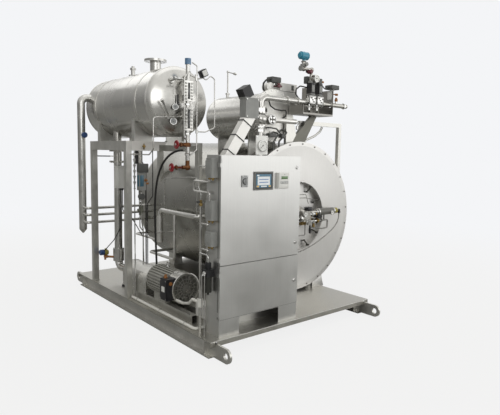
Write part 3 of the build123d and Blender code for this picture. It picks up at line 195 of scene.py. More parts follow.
def zoned(name, base, zones):
    """Several finishes on one casting, each within slabs of the part's own coordinates.

    base and each zone's finish hold pale and dark colours, how metallic and how rough it is.
    A zone's slabs are a list of (direction, low, high) in metres.
    """
    material, tree, shader, place = blank_material(name)
    grain, cloud = grained(tree, place, (2, 2, 2), 90)
    pale, dark, metallic, rough = base
    tint = dress(tree, shader, grain, cloud, pale, dark, rough, 0.05, 0.08, 0.3).outputs[2]
    gloss = shader.inputs["Roughness"].links[0].from_socket
    plain_shine, shine = {2: metallic}, {}
    for slabs, (pale, dark, metallic, rough) in zones:
        inside = None
        for way, low, high in slabs:
            along = add_node(
                tree, "ShaderNodeVectorMath", {"operation": "DOT_PRODUCT"}, {1: way}, {0: place}
            )
            near = add_node(
                tree,
                "ShaderNodeMath",
                {"operation": "COMPARE"},
                {1: (low + high) / 2, 2: (high - low) / 2},
                {0: along.outputs["Value"]},
            ).outputs[0]
            if inside is not None:
                near = add_node(
                    tree, "ShaderNodeMath", {"operation": "MULTIPLY"}, links={0: inside, 1: near}
                ).outputs[0]
            inside = near
        shade = add_node(
            tree, "ShaderNodeMix", {"data_type": "RGBA"}, {6: linear(dark), 7: linear(pale)}, {0: cloud}
        ).outputs[2]
        tint = add_node(
            tree, "ShaderNodeMix", {"data_type": "RGBA"}, links={0: inside, 6: tint, 7: shade}
        ).outputs[2]
        gloss = add_node(tree, "ShaderNodeMix", values={3: rough}, links={0: inside, 2: gloss}).outputs[0]
        mixed = add_node(
            tree, "ShaderNodeMix", values={**plain_shine, 3: metallic}, links={0: inside, **shine}
        )
        plain_shine, shine = {}, {2: mixed.outputs[0]}
    tree.links.new(tint, shader.inputs["Base Color"])
    tree.links.new(gloss, shader.inputs["Roughness"])
    tree.links.new(shine[2], shader.inputs["Metallic"])
    return material


# Stainless sheet with a vertical belt-ground grain, drawn coarser than the real 0.2 mm so it shows
CABINET_STEEL = metal("belt_ground_stainless", "#d9d9d7", "#c5c5c3", 0.36, (3, 3, 420), 420, 0.05, 0.06)
# Rolled and polished vessel shell; its grain runs round the drum
DRUM_STEEL = metal("rolled_polished_stainless", "#d9d8d5", "#bfbeba", 0.26, (260, 4, 260), 500, 0.06, 0.05)
# The boiler's shell: the rolled shell painted darker than the vessels above it, as painted shade
BOILER_STEEL = metal("rolled_shell_painted_shade", "#b3b2ad", "#94938d", 0.27, (260, 4, 260), 420, 0.06, 0.06)
# Spun heads, brighter than the shells
HEAD_STEEL = metal("spun_polished_stainless", "#e2e1de", "#cbcac6", 0.25, (60, 60, 60), 300, 0.05, 0.03)
# Ground plate, a wide soft sheen
PLATE_STEEL = metal("ground_stainless_plate", "#dddcda", "#cac9c6", 0.4, (6, 6, 300), 600, 0.05, 0.05)
# Pickled and welded sections, duller and mottled
FRAME_STEEL = metal("pickled_stainless_section", "#e2e1dd", "#c2c1bc", 0.4, (14, 14, 14), 180, 0.08, 0.1)
# The deck, the same pickled steel in a darker tone
DECK_STEEL = metal("pickled_stainless_deck", "#c6c4bd", "#a9a7a0", 0.42, (16, 16, 16), 240, 0.08, 0.1)
# Drawn tube, bright with a faint lengthwise draw
PIPE_STEEL = metal("drawn_stainless_tube", "#dcdbd8", "#b6b5b1", 0.22, (20, 20, 60), 140, 0.06, 0.06)
# Mill-finish sheet, a soft sheen along the rolling
SHEET_STEEL = metal("mill_finish_sheet", "#dddcd8", "#c3c2bd", 0.3, (9, 120, 9), 200, 0.07, 0.07)
# Shot-blasted sheet, pale from every side
PALE_SHEET = metal("blasted_pale_sheet", "#efeeeb", "#dbdad6", 0.52, (4, 4, 4), 160, 0.05, 0.08)
# Thick insulated tube with a silky bright skin
FLANK_STEEL = metal("silky_bright_tube", "#f1f0ed", "#dcdbd7", 0.34, (16, 16, 16), 120, 0.06, 0.06)
# The tray stands in its own shade, darker than the sheet around it
TRAY_STEEL = metal("shaded_tray_sheet", "#a8a6a2", "#8b8985", 0.42, (9, 120, 9), 200, 0.07, 0.06)
# Weathered bolt heads
FITTING_STEEL = metal("weathered_bolt_steel", "#a3a29e", "#7c7b77", 0.34, (4, 4, 4), 40, 0.06, 0.08)
# Blackened bolts and hooks
DARK_STEEL = metal("blackened_steel", "#6c6b67", "#4b4a47", 0.36, (4, 4, 4), 40, 0.06, 0.08)
# Braided steel hose, its wires drawn coarser than they are
BRAID = metal("braided_steel_hose", "#a9a8a4", "#6f6e6a", 0.34, (3, 3, 3), 30, 0.06, 0.3)
# Plated and polished small fittings
CHROME = metal("bright_plated_fittings", "#e2e2e0", "#bcbcba", 0.14, (6, 6, 6), 60, 0.04, 0.03)
# Zinc sheet with its spangle
ZINC = metal("spangled_zinc_sheet", "#b9bdc0", "#8f9396", 0.42, (18, 18, 18), 30, 0.1, 0.05)
# Machined brass, a little tarnished
BRASS = metal("tarnished_brass", "#b39a64", "#77623a", 0.33, (5, 5, 5), 40, 0.08, 0.08)
# Cast bronze, brown with a rough skin
BRONZE = metal("cast_bronze", "#96694a", "#5a3d28", 0.45, (3, 3, 3), 40, 0.08, 0.2)
# Painted castings, satin grey with a fine skin
CAST_GREY = coating("grey_cast_paint", "#9a9b98", "#7f807d", 0.42, (2, 2, 2), 80, 0.18)
MOTOR_GREY = coating("light_grey_motor_paint", "#a5a49d", "#85847d", 0.4, (2, 2, 2), 80, 0.15)
# Moulded plastics, matt with a fine grain
BLACK_PLASTIC = coating("moulded_black_plastic", "#26262a", "#17171a", 0.42, (1.5, 1.5, 1.5), 60, 0.15)
GREY_PLASTIC = coating("moulded_grey_plastic", "#a6a8a8", "#939595", 0.45, (1.5, 1.5, 1.5), 80, 0.1)
BEZEL_PLASTIC = coating("dark_bezel_plastic", "#6f706e", "#5f605e", 0.4, (1.5, 1.5, 1.5), 80, 0.1)
PALE_PLASTIC = coating("moulded_pale_plastic", "#e6e6e2", "#d5d5d0", 0.4, (1.5, 1.5, 1.5), 80, 0.08)
BOX_PLASTIC = coating("pale_grey_box_plastic", "#dededa", "#cdcdc8", 0.45, (1.5, 1.5, 1.5), 90, 0.1)
CONDUIT_PLASTIC = coating("corrugated_pale_conduit", "#e4e3dd", "#cccbc4", 0.5, (2, 2, 2), 60, 0.1)
# Gloss paints, a clear coat over a strong colour
CAP_BLUE = coating("blue_enamel_cap", "#5f87ab", "#446a8e", 0.3, (2, 2, 2), 40, 0.06, 0.5)
WHEEL_RED = coating("red_gloss_paint", "#a50f1d", "#7f0a15", 0.34, (2, 2, 2), 40, 0.1, 0.2)
TEAL = coating("teal_transmitter_paint", "#3f9bb5", "#2b7d97", 0.34, (2, 2, 2), 50, 0.1, 0.3)
# Cable rubber, dull and nearly black
RUBBER = coating("black_cable_rubber", "#31302e", "#201f1e", 0.55, (1.2, 1.2, 1.2), 30, 0.2)
# Dials and displays, flat colours under lacquer or glass
WHITE_ENAMEL = coating("white_dial_enamel", "#eeeeea", "#e0e0dc", 0.3, (2, 2, 2), 60, 0.03, 0.4)
INK = coating("black_dial_ink", "#1c1c1c", "#101010", 0.5)
LCD_GREEN = coating("green_display_glass", "#4f7a3a", "#3a5f2a", 0.15, (2, 2, 2), 30, 0.02, 0.8)
DARK_GLASS = coating("dark_gauge_glass", "#23251f", "#121310", 0.08, (3, 3, 3), 40, 0.02, 1.0)
SCREEN_TEAL = coating("screen_teal_border", "#2f6f8c", "#27607a", 0.12, (4, 4, 4), 60, 0.01, 0.8)
SCREEN_WHITE = coating("screen_white_field", "#e9edef", "#dfe5e8", 0.12, (4, 4, 4), 60, 0.01, 0.8)
SCREEN_BLUE = coating("screen_blue_bar", "#3c6fae", "#3262a0", 0.12, (4, 4, 4), 60, 0.01, 0.8)
SCREEN_ORANGE = coating("screen_orange_bar", "#d9b45c", "#c9a24c", 0.12, (4, 4, 4), 60, 0.01, 0.8)
# Small housings and collars in satin paint
YELLOW_GREEN = coating("yellow_green_collar", "#9a8f3e", "#7d7432", 0.4)
RELIEF_RED = coating("dark_red_valve_paint", "#6e2331", "#4f1823", 0.35, (2, 2, 2), 40, 0.1, 0.3)
DARK_GREY = coating("dark_grey_housing", "#5c5d5b", "#474846", 0.42, (2, 2, 2), 60, 0.14)
VALVE_GREEN = coating("grey_green_valve_paint", "#77786c", "#5c5d52", 0.4, (2, 2, 2), 40, 0.14)
DISPLAY_BLUE = coating("blue_display_foil", "#477286", "#395e70", 0.2, (3, 3, 3), 40, 0.03, 0.5)
# Brass with orange-brown plastic grips beside it
ORANGE_BRASS = coating("orange_brown_fittings", "#a8703a", "#7c4f28", 0.38, (2, 2, 2), 30, 0.1)
INSTRUMENT_BLUE = coating("blue_instrument_paint", "#2f4d80", "#243d68", 0.35, (2, 2, 2), 40, 0.1, 0.3)

# Tones for zones of one casting: pale, dark, how metallic, how rough
STEEL_TONE = ("#cfcdc8", "#a8a6a0", 1.0, 0.26)
BRASS_TONE = ("#b39a64", "#77623a", 1.0, 0.34)
BLACK_TONE = ("#262628", "#161618", 0.0, 0.42)
GREY_TONE = ("#9a9b98", "#7f807d", 0.0, 0.42)
CHROME_TONE = ("#e2e2e0", "#bcbcba", 1.0, 0.15)
WHITE_TONE = ("#f6f6f3", "#eaeae6", 0.0, 0.35)
SENSOR_TONE = ("#74736d", "#5d5c57", 0.0, 0.36)
SECTION_TONE = ("#e2e1dd", "#c2c1bc", 1.0, 0.4)
SHADED_TONE = ("#77766f", "#65645e", 1.0, 0.44)
# Beyond every piece, for a zone that is open on one side
FAR = 9.0

SENSOR_FINISH = zoned(
    "flame_sensor_finish",
    SENSOR_TONE,
    [
        ([(RIGHT, 1.083, 1.134)], ("#a3984a", "#857b38", 0.0, 0.4)),
        ([(RIGHT, 1.134, FAR)], BLACK_TONE),
        ([(RIGHT, -FAR, 0.829)], STEEL_TONE),
    ],
)
BURNER_FINISH = zoned("burner_head_finish", STEEL_TONE, [([(UP, 0.915, 0.950)], BRASS_TONE)])
SUPPORT_FINISH = zoned(
    "station_support_finish",
    SECTION_TONE,
    [([((0.830, 0.0, -0.558), -0.556, FAR), (BACK, -FAR, -0.669)], SHADED_TONE)],
)
# The tank frame's sections; the front face of its top beam is painted paler and almost not metallic, as a
# painted highlight
TANK_FRAME_FINISH = zoned(
    "tank_frame_finish",
    SECTION_TONE,
    [([(UP, 1.680, FAR), (BACK, -FAR, 0.092), (RIGHT, -0.950, -0.560)], ("#e6e4e0", "#d3d1cc", 0.1, 0.5))],
)
# Mill-finish sheet on the pump's hood, its top painted paler and less metallic as a painted highlight
HOOD_FINISH = zoned(
    "pump_hood_finish",
    ("#dddcd8", "#c3c2bd", 1.0, 0.3),
    [([(UP, 0.430, FAR)], ("#f2f1ed", "#e2e1dd", 0.5, 0.45))],
)
ACTUATOR_FINISH = zoned("damper_actuator_finish", GREY_TONE, [([(UP, 2.172, FAR)], BLACK_TONE)])
GAUGE_PANEL_FINISH = zoned("pressure_gauge_finish", WHITE_TONE, [([(BACK, -FAR, -0.8855)], CHROME_TONE)])
TRANSMITTER_FINISH = zoned(
    "level_transmitter_finish",
    STEEL_TONE,
    [
        ([(UP, 1.26, 1.46), (BACK, -FAR, 0.0899)], GREY_TONE),
        ([(UP, 1.17, 1.24), (BACK, -FAR, 0.0899)], BLACK_TONE),
    ],
)
OUTLET_FINISH = zoned(
    "outlet_valve_finish", STEEL_TONE, [([(RIGHT, -FAR, -0.885), (UP, 1.59, 1.63)], BLACK_TONE)]
)
STACK_FINISH = zoned(
    "valve_train_finish",
    STEEL_TONE,
    [
        ([(UP, 2.264, 2.425)], BLACK_TONE),
        ([(RIGHT, 0.60, 0.82), (UP, 2.17, 2.264)], CHROME_TONE),
        ([(UP, -FAR, 2.17)], SHADED_TONE),
    ],
)
STOP_VALVE_FINISH = zoned(
    "stop_valve_finish",
    ("#96694a", "#5a3d28", 1.0, 0.42),
    [([(RIGHT, -FAR, -0.692), (UP, 1.50, 1.55)], ("#8a3a2c", "#5e2a1e", 0.6, 0.4))],
)
FILTER_FINISH = zoned(
    "air_filter_finish", BLACK_TONE, [([(UP, 0.49, 0.655)], ("#33342f", "#22231f", 0.0, 0.2))]
)

FINISHES = {
    CABINET_STEEL: ["cabinet_plinth", "cabinet_shell", "cabinet_upper_door", "cabinet_lower_door"],
    DRUM_STEEL: ["economiser_shell", "feed_tank_shell"],
    BOILER_STEEL: ["boiler_shell"],
    HEAD_STEEL: ["feed_tank_ends"],
    PLATE_STEEL: ["boiler_front_plate", "boiler_rear_plate", "burner_cup"],
    FRAME_STEEL: [
        "economiser_ends",
        "skid_beams",
        "cross_members",
        "boiler_feet",
        "economiser_cradles",
        "feed_tank_saddles",
        "pump_base_rails",
    ],
    SUPPORT_FINISH: ["station_supports"],
    TANK_FRAME_FINISH: ["tank_frame"],
    DECK_STEEL: ["deck_plate"],
    PIPE_STEEL: [
        "feed_tank_nozzle",
        "overflow_pipe",
        "drain_lines",
        "suction_pipe",
        "level_gauge",
        "instrument_riser",
        "gas_line",
    ],
    FLANK_STEEL: ["flank_pipework"],
    PALE_SHEET: ["economiser_fittings", "cable_ducts"],
    SHEET_STEEL: ["motor_fan_cover"],
    HOOD_FINISH: ["pump_hood"],
    TRAY_STEEL: ["valve_station"],
    ZINC: ["mounting_plate"],
    CAST_GREY: ["side_valves"],
    MOTOR_GREY: ["pump_motor"],
    BLACK_PLASTIC: ["motor_terminal_box"],
    BEZEL_PLASTIC: ["touch_screen"],
    GREY_PLASTIC: ["main_switch"],
    PALE_PLASTIC: ["burner_controller"],
    BOX_PLASTIC: ["junction_box"],
    CONDUIT_PLASTIC: ["deck_conduit"],
    CAP_BLUE: ["level_gauge_cap"],
    WHEEL_RED: ["upper_handwheel", "lower_handwheel"],
    TEAL: ["pressure_transmitter"],
    RUBBER: ["burner_cable", "drain_hose"],
    SENSOR_FINISH: ["flame_sensor"],
    BURNER_FINISH: ["burner_head"],
    ACTUATOR_FINISH: ["damper_actuator"],
    GAUGE_PANEL_FINISH: ["pressure_gauge"],
    TRANSMITTER_FINISH: ["level_transmitter"],
    OUTLET_FINISH: ["tank_outlet_valve"],
    STACK_FINISH: ["valve_stack"],
    STOP_VALVE_FINISH: ["gauge_stop_valves"],
    FILTER_FINISH: ["air_filter"],
}
for material, names in FINISHES.items():
    for name in names:
        for slot in nodes[name].material_slots:
            slot.material = material


def place_camera():
    """Stands the camera where the photograph was taken, at eye level left of the front."""
    image_width = 500
    focal_pixels = 492.10
    yaw, pitch, roll = math.radians(39.68), math.radians(6.29), math.radians(1.10)
    ahead = Vector(
        (math.sin(yaw) * math.cos(pitch), math.cos(yaw) * math.cos(pitch), -math.sin(pitch))
    )
    level = Vector((math.cos(yaw), -math.sin(yaw), 0.0))
    upright = level.cross(ahead)
    right = level * math.cos(roll) + upright * math.sin(roll)
    top = upright * math.cos(roll) - level * math.sin(roll)
    lens = bpy.data.cameras.new("photo_camera")
    lens.sensor_fit = "HORIZONTAL"
    lens.sensor_width = 36.0
    lens.lens = focal_pixels / image_width * lens.sensor_width
    lens.clip_end = 200.0
    camera = bpy.data.objects.new("photo_camera", lens)
    bpy.context.scene.collection.objects.link(camera)
    turn = Matrix((right, top, -ahead)).transposed().to_4x4()
    camera.matrix_world = Matrix.Translation(CAMERA_PLACE) @ turn
    bpy.context.scene.camera = camera


def softbox(name, place, target, size, radiance):
    """A large soft lamp whose face shows the given brightness in polished metal."""
    lamp = bpy.data.lights.new(name, "AREA")
    lamp.shape = "RECTANGLE"
    lamp.size, lamp.size_y = size
    lamp.energy = radiance * math.pi * size[0] * size[1]
    holder = bpy.data.objects.new(name, lamp)
    bpy.context.scene.collection.objects.link(holder)
    aim = (Vector(target) - Vector(place)).to_track_quat("-Z", "Y").to_matrix().to_4x4()
    holder.matrix_world = Matrix.Translation(place) @ aim


def shown_rays(tree, way):
    """Where the pale background shows: to the camera, and in metal and glass where it stands."""
    behind = add_node(
        tree, "ShaderNodeVectorMath", {"operation": "DOT_PRODUCT"}, {1: BACKDROP_WAY}, {0: way}
    )
    sweep = add_node(
        tree,
        "ShaderNodeMapRange",
        {"interpolation_type": "SMOOTHSTEP"},
        {"From Min": 0.80, "From Max": 0.90},
        {"Value": behind.outputs["Value"]},
    )
    rays = add_node(tree, "ShaderNodeLightPath")
    mirrored = add_node(
        tree,
        "ShaderNodeMath",
        {"operation": "MAXIMUM"},
        links={0: rays.outputs["Is Glossy Ray"], 1: rays.outputs["Is Transmission Ray"]},
    )
    within = add_node(
        tree,
        "ShaderNodeMath",
        {"operation": "MULTIPLY"},
        links={0: mirrored.outputs[0], 1: sweep.outputs[0]},
    )
    shown = add_node(
        tree,
        "ShaderNodeMath",
        {"operation": "MAXIMUM"},
        links={0: rays.outputs["Is Camera Ray"], 1: within.outputs[0]},
    )
    return shown.outputs[0]


def light_studio():
    """A pale room, brighter overhead and to the front right, with soft lamps round the plant."""
    world = bpy.data.worlds.new("studio")
    bpy.context.scene.world = world
    world.use_nodes = True
    tree = world.node_tree
    tree.nodes.clear()
    toward = add_node(tree, "ShaderNodeTexCoord").outputs["Generated"]
    facing = add_node(
        tree,
        "ShaderNodeVectorMath",
        {"operation": "DOT_PRODUCT"},
        {1: (0.30, -0.35, 0.89)},
        {0: toward},
    )
    level = add_node(
        tree,
        "ShaderNodeMapRange",
        values={"From Min": -0.50, "From Max": 0.60, "To Min": 0.20, "To Max": 0.95},
        links={"Value": facing.outputs["Value"]},
    )
    room = add_node(
        tree,
        "ShaderNodeBackground",
        values={"Color": linear("#f6f5f2")},
        links={"Strength": level.outputs[0]},
    )
    backdrop = add_node(tree, "ShaderNodeBackground", values={"Color": linear(BACKDROP), "Strength": 1.0})
    seen = add_node(
        tree,
        "ShaderNodeMixShader",
        links={0: shown_rays(tree, toward), 1: room.outputs[0], 2: backdrop.outputs[0]},
    )
    add_node(tree, "ShaderNodeOutputWorld", links={"Surface": seen.outputs[0]})
    softbox("front_softbox", (4.7, -7.0, 2.4), (-0.2, -0.9, 1.2), (8.0, 4.0), 1.1)
    softbox("left_softbox", (-3.7, -6.2, 3.5), (-0.7, -0.3, 2.0), (4.8, 3.2), 1.35)
    softbox("top_softbox", (0.4, 0.2, 6.2), (0.2, 0.2, 0.0), (4.5, 5.0), 0.5)
    softbox("back_softbox", (0.2, 6.2, 5.9), (-0.2, 0.2, 1.8), (5.0, 1.8), 1.1)


def lay_floor():
    """A plain pale floor that keeps the soft shadow under the skid and fades into the backdrop."""
    shape = bmesh.new()
    bmesh.ops.create_grid(shape, x_segments=1, y_segments=1, size=60.0)
    mesh = bpy.data.meshes.new("studio_floor")
    shape.to_mesh(mesh)
    shape.free()
    floor = bpy.data.objects.new("studio_floor", mesh)
    bpy.context.scene.collection.objects.link(floor)
    material, tree, shader, place = blank_material("pale_studio_floor")
    shader.inputs["Base Color"].default_value = linear("#92928f")
    shader.inputs["Roughness"].default_value = 0.9
    reach = add_node(tree, "ShaderNodeVectorMath", {"operation": "LENGTH"}, links={0: place})
    far = add_node(
        tree,
        "ShaderNodeMapRange",
        {"interpolation_type": "SMOOTHSTEP"},
        {"From Min": 2.5, "From Max": 9.0},
        {"Value": reach.outputs["Value"]},
    )
    tone = add_node(
        tree,
        "ShaderNodeMix",
        {"data_type": "RGBA"},
        {6: linear("#ffffff"), 7: linear(BACKDROP)},
        {0: far.outputs[0]},
    )
    glow = add_node(
        tree, "ShaderNodeEmission", values={"Strength": 1.0}, links={"Color": tone.outputs[2]}
    )
    part = add_node(
        tree,
        "ShaderNodeMapRange",
        values={"To Min": 0.84, "To Max": 1.0},
        links={"Value": far.outputs[0]},
    )
    away = add_node(
        tree, "ShaderNodeVectorMath", {"operation": "SUBTRACT"}, {1: CAMERA_PLACE}, {0: place}
    )
    way = add_node(
        tree, "ShaderNodeVectorMath", {"operation": "NORMALIZE"}, links={0: away.outputs[0]}
    )
    faded = add_node(
        tree,
        "ShaderNodeVectorMath",
        {"operation": "SCALE"},
        links={0: way.outputs[0], "Scale": far.outputs[0]},
    )
    share = add_node(
        tree,
        "ShaderNodeMath",
        {"operation": "MULTIPLY"},
        links={0: part.outputs[0], 1: shown_rays(tree, faded.outputs[0])},
    )
    seen = add_node(
        tree,
        "ShaderNodeMixShader",
        links={0: share.outputs[0], 1: shader.outputs[0], 2: glow.outputs[0]},
    )
    out = next(item for item in tree.nodes if item.type == "OUTPUT_MATERIAL")
    tree.links.new(seen.outputs[0], out.inputs["Surface"])
    mesh.materials.append(material)


def stand(shape, foot, direction):
    """Moves a shape that was made upright at the origin to its foot, along a direction."""
    turn = Vector(direction).to_track_quat("Z", "Y").to_matrix().to_4x4()
    bmesh.ops.transform(shape, matrix=Matrix.Translation(foot) @ turn, verts=shape.verts)
    return shape


def turned(foot, direction, profile, steps=24):
    """A lathe shape from (height, radius) pairs in millimetres, standing on its foot."""
    shape = bmesh.new()
    knots = [shape.verts.new((radius / 1000, 0.0, height / 1000)) for height, radius in profile]
    edges = [shape.edges.new(pair) for pair in zip(knots, knots[1:])]
    bmesh.ops.spin(
        shape,
        geom=knots + edges,
        cent=(0, 0, 0),
        axis=(0, 0, 1),
        angle=math.tau,
        steps=steps,
        use_merge=True,
    )
    bmesh.ops.remove_doubles(shape, verts=shape.verts, dist=1e-6)
    bmesh.ops.recalc_face_normals(shape, faces=shape.faces)
    return stand(shape, foot, direction)


def eased(shape, edges, reach, segments):
    """Rounds some edges of a shape; reach in metres."""
    bmesh.ops.bevel(
        shape,
        geom=edges,
        offset=reach,
        offset_type="OFFSET",
        affect="EDGES",
        segments=segments,
        profile=0.5,
        material=-1,
    )
    return shape


def block(low, high, edge, segments=2):
    """A box between two corners with rounded edges, all in metres but the edge in millimetres."""
    shape = bmesh.new()
    bmesh.ops.create_cube(shape, size=1.0)
    bmesh.ops.scale(shape, vec=Vector(high) - Vector(low), verts=shape.verts)
    bmesh.ops.translate(shape, vec=(Vector(low) + Vector(high)) / 2, verts=shape.verts)
    return eased(shape, shape.edges[:], edge / 1000, segments)


def hexagon(foot, direction, across, height):
    """A hexagon nut or bolt head with eased corners, sizes in millimetres."""
    shape = bmesh.new()
    reach = across / 1000 / math.sqrt(3)
    depth = height / 1000
    bmesh.ops.create_cone(shape, cap_ends=True, segments=6, radius1=reach, radius2=reach, depth=depth)
    bmesh.ops.translate(shape, vec=(0, 0, depth / 2), verts=shape.verts)
    rim = [edge for edge in shape.edges if all(vert.co.z > depth / 2 for vert in edge.verts)]
    return stand(eased(shape, rim, depth / 5, 1), foot, direction)


def bolt(foot, direction, across):
    """A hexagon head on its washer."""
    washer = turned(foot, direction, [(0, 0), (0, across), (2, across), (2, 0)], 14)
    head_foot = Vector(foot) + Vector(direction).normalized() * 0.002
    return [washer, hexagon(head_foot, direction, across * 1.5, across * 0.65)]


def bent_pipe(points, radius, bend, sides=12):
    """A rigid tube through points, spun round each corner; radius and bend in millimetres."""
    knots = [Vector(point) for point in points]
    shape = bmesh.new()
    made = bmesh.ops.create_circle(shape, cap_ends=False, segments=sides, radius=radius / 1000)
    stand(shape, knots[0], knots[1] - knots[0])
    ring = made["verts"] + list({edge for vert in made["verts"] for edge in vert.link_edges})
    spent = 0.0
    for step in range(1, len(knots)):
        ahead = knots[step] - knots[step - 1]
        way = ahead.normalized()
        onward = knots[step + 1] - knots[step] if step + 1 < len(knots) else None
        turn = way.angle(onward) if onward else 0.0
        reach = bend / 1000 * math.tan(turn / 2)
        edges = [item for item in ring if isinstance(item, bmesh.types.BMEdge)]
        grown = bmesh.ops.extrude_edge_only(shape, edges=edges)["geom"]
        verts = [item for item in grown if isinstance(item, bmesh.types.BMVert)]
        bmesh.ops.translate(shape, vec=way * (ahead.length - spent - reach), verts=verts)
        ring = verts + [edge for edge in grown if isinstance(edge, bmesh.types.BMEdge)
                        and all(vert in verts for vert in edge.verts)]
        spent = reach
        if turn > 0.01:
            axis = way.cross(onward).normalized()
            corner = knots[step] - way * reach
            inward = axis.cross(way).normalized()
            swung = bmesh.ops.spin(
                shape,
                geom=ring,
                cent=corner + inward * bend / 1000,
                axis=axis,
                angle=turn,
                steps=6,
                use_merge=False,
            )
            ring = swung["geom_last"]
    bmesh.ops.holes_fill(shape, edges=shape.edges, sides=sides)
    bmesh.ops.recalc_face_normals(shape, faces=shape.faces)
    return shape


def weld_bead(centre, y, radius, half_width, height, steps):
    """A low weld bead round a lying vessel; its width and height in millimetres."""
    skin = radius * 1000
    profile = [(-half_width, skin - 1), (0, skin + height), (half_width, skin - 1)]
    return turned(centre + Vector((0, y, 0)), BACK, profile, steps)


def piece(name, shapes, material, body="plant"):
    """Joins shapes into one finished piece that rides on a body."""
    whole = bmesh.new()
    loose = bpy.data.meshes.new("loose")
    for shape in shapes:
        shape.to_mesh(loose)
        shape.free()
        whole.from_mesh(loose)
    bpy.data.meshes.remove(loose)
    mesh = bpy.data.meshes.new(name)
    whole.to_mesh(mesh)
    whole.free()
    mesh.materials.append(material)
    mesh.shade_smooth()
    mesh.set_sharp_from_angle(angle=math.radians(38))
    made = bpy.data.objects.new(name, mesh)
    bpy.context.scene.collection.objects.link(made)
    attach(made, body)
    return made


def around(count, start=0.0):
    """Evenly spaced angles of a full circle."""
    return [math.tau * (step + start) / count for step in range(count)]


def on_ring(centre, y, radius, angle):
    """A point on an upright ring that faces the front."""
    return (centre.x + radius * math.sin(angle), y, centre.z + radius * math.cos(angle))


def dial(name, centre, direction, radius, face=None, sweep=270, marks=11):
    """A round gauge: a rim, an enamel face, ink marks and a pointer. Radius in millimetres."""
    way = Vector(direction).normalized()
    foot = Vector(centre)
    rim = turned(
        foot,
        way,
        [(0, 0), (0, radius * 0.94), (radius * 0.1, radius), (radius * 0.5, radius),
         (radius * 0.58, radius * 0.95), (radius * 0.58, radius * 0.86), (radius * 0.46, radius * 0.85)],
        32,
    )
    piece(name + "_rim", [rim], CHROME)
    height = radius * 0.47
    plate = turned(
        foot,
        way,
        [(height - 1, 0), (height - 1, radius * 0.86), (height, radius * 0.86), (height, 0)],
        32,
    )
    piece(name + "_face", [plate], face or WHITE_ENAMEL)
    upright = way.to_track_quat("Z", "Y").to_matrix().to_4x4()
    base = Matrix.Translation(foot + way * height / 1000) @ upright
    ink = []
    for step in range(marks):
        angle = math.radians(sweep * (step / (marks - 1) - 0.5))
        long = 0.2 if step % 5 == 0 else 0.12
        mark = block(
            (-radius * 0.018 / 1000, radius * (0.78 - long) / 1000, 0),
            (radius * 0.018 / 1000, radius * 0.78 / 1000, 0.0006),
            0.05,
            1,
        )
        bmesh.ops.transform(mark, matrix=base @ Matrix.Rotation(angle, 4, "Z"), verts=mark.verts)
        ink.append(mark)
    pointer = block(
        (-radius * 0.03 / 1000, -radius * 0.2 / 1000, 0.0008),
        (radius * 0.03 / 1000, radius * 0.62 / 1000, 0.0018),
        0.2,
        1,
    )
    bmesh.ops.transform(
        pointer, matrix=base @ Matrix.Rotation(math.radians(72), 4, "Z"), verts=pointer.verts
    )
    ink.append(pointer)
    ink.append(
        turned(
            foot + way * height / 1000,
            way,
            [(0, radius * 0.1), (3, radius * 0.1), (3.5, radius * 0.06), (3.5, 0)],
            16,
        )
    )
    piece(name + "_marks", ink, INK)


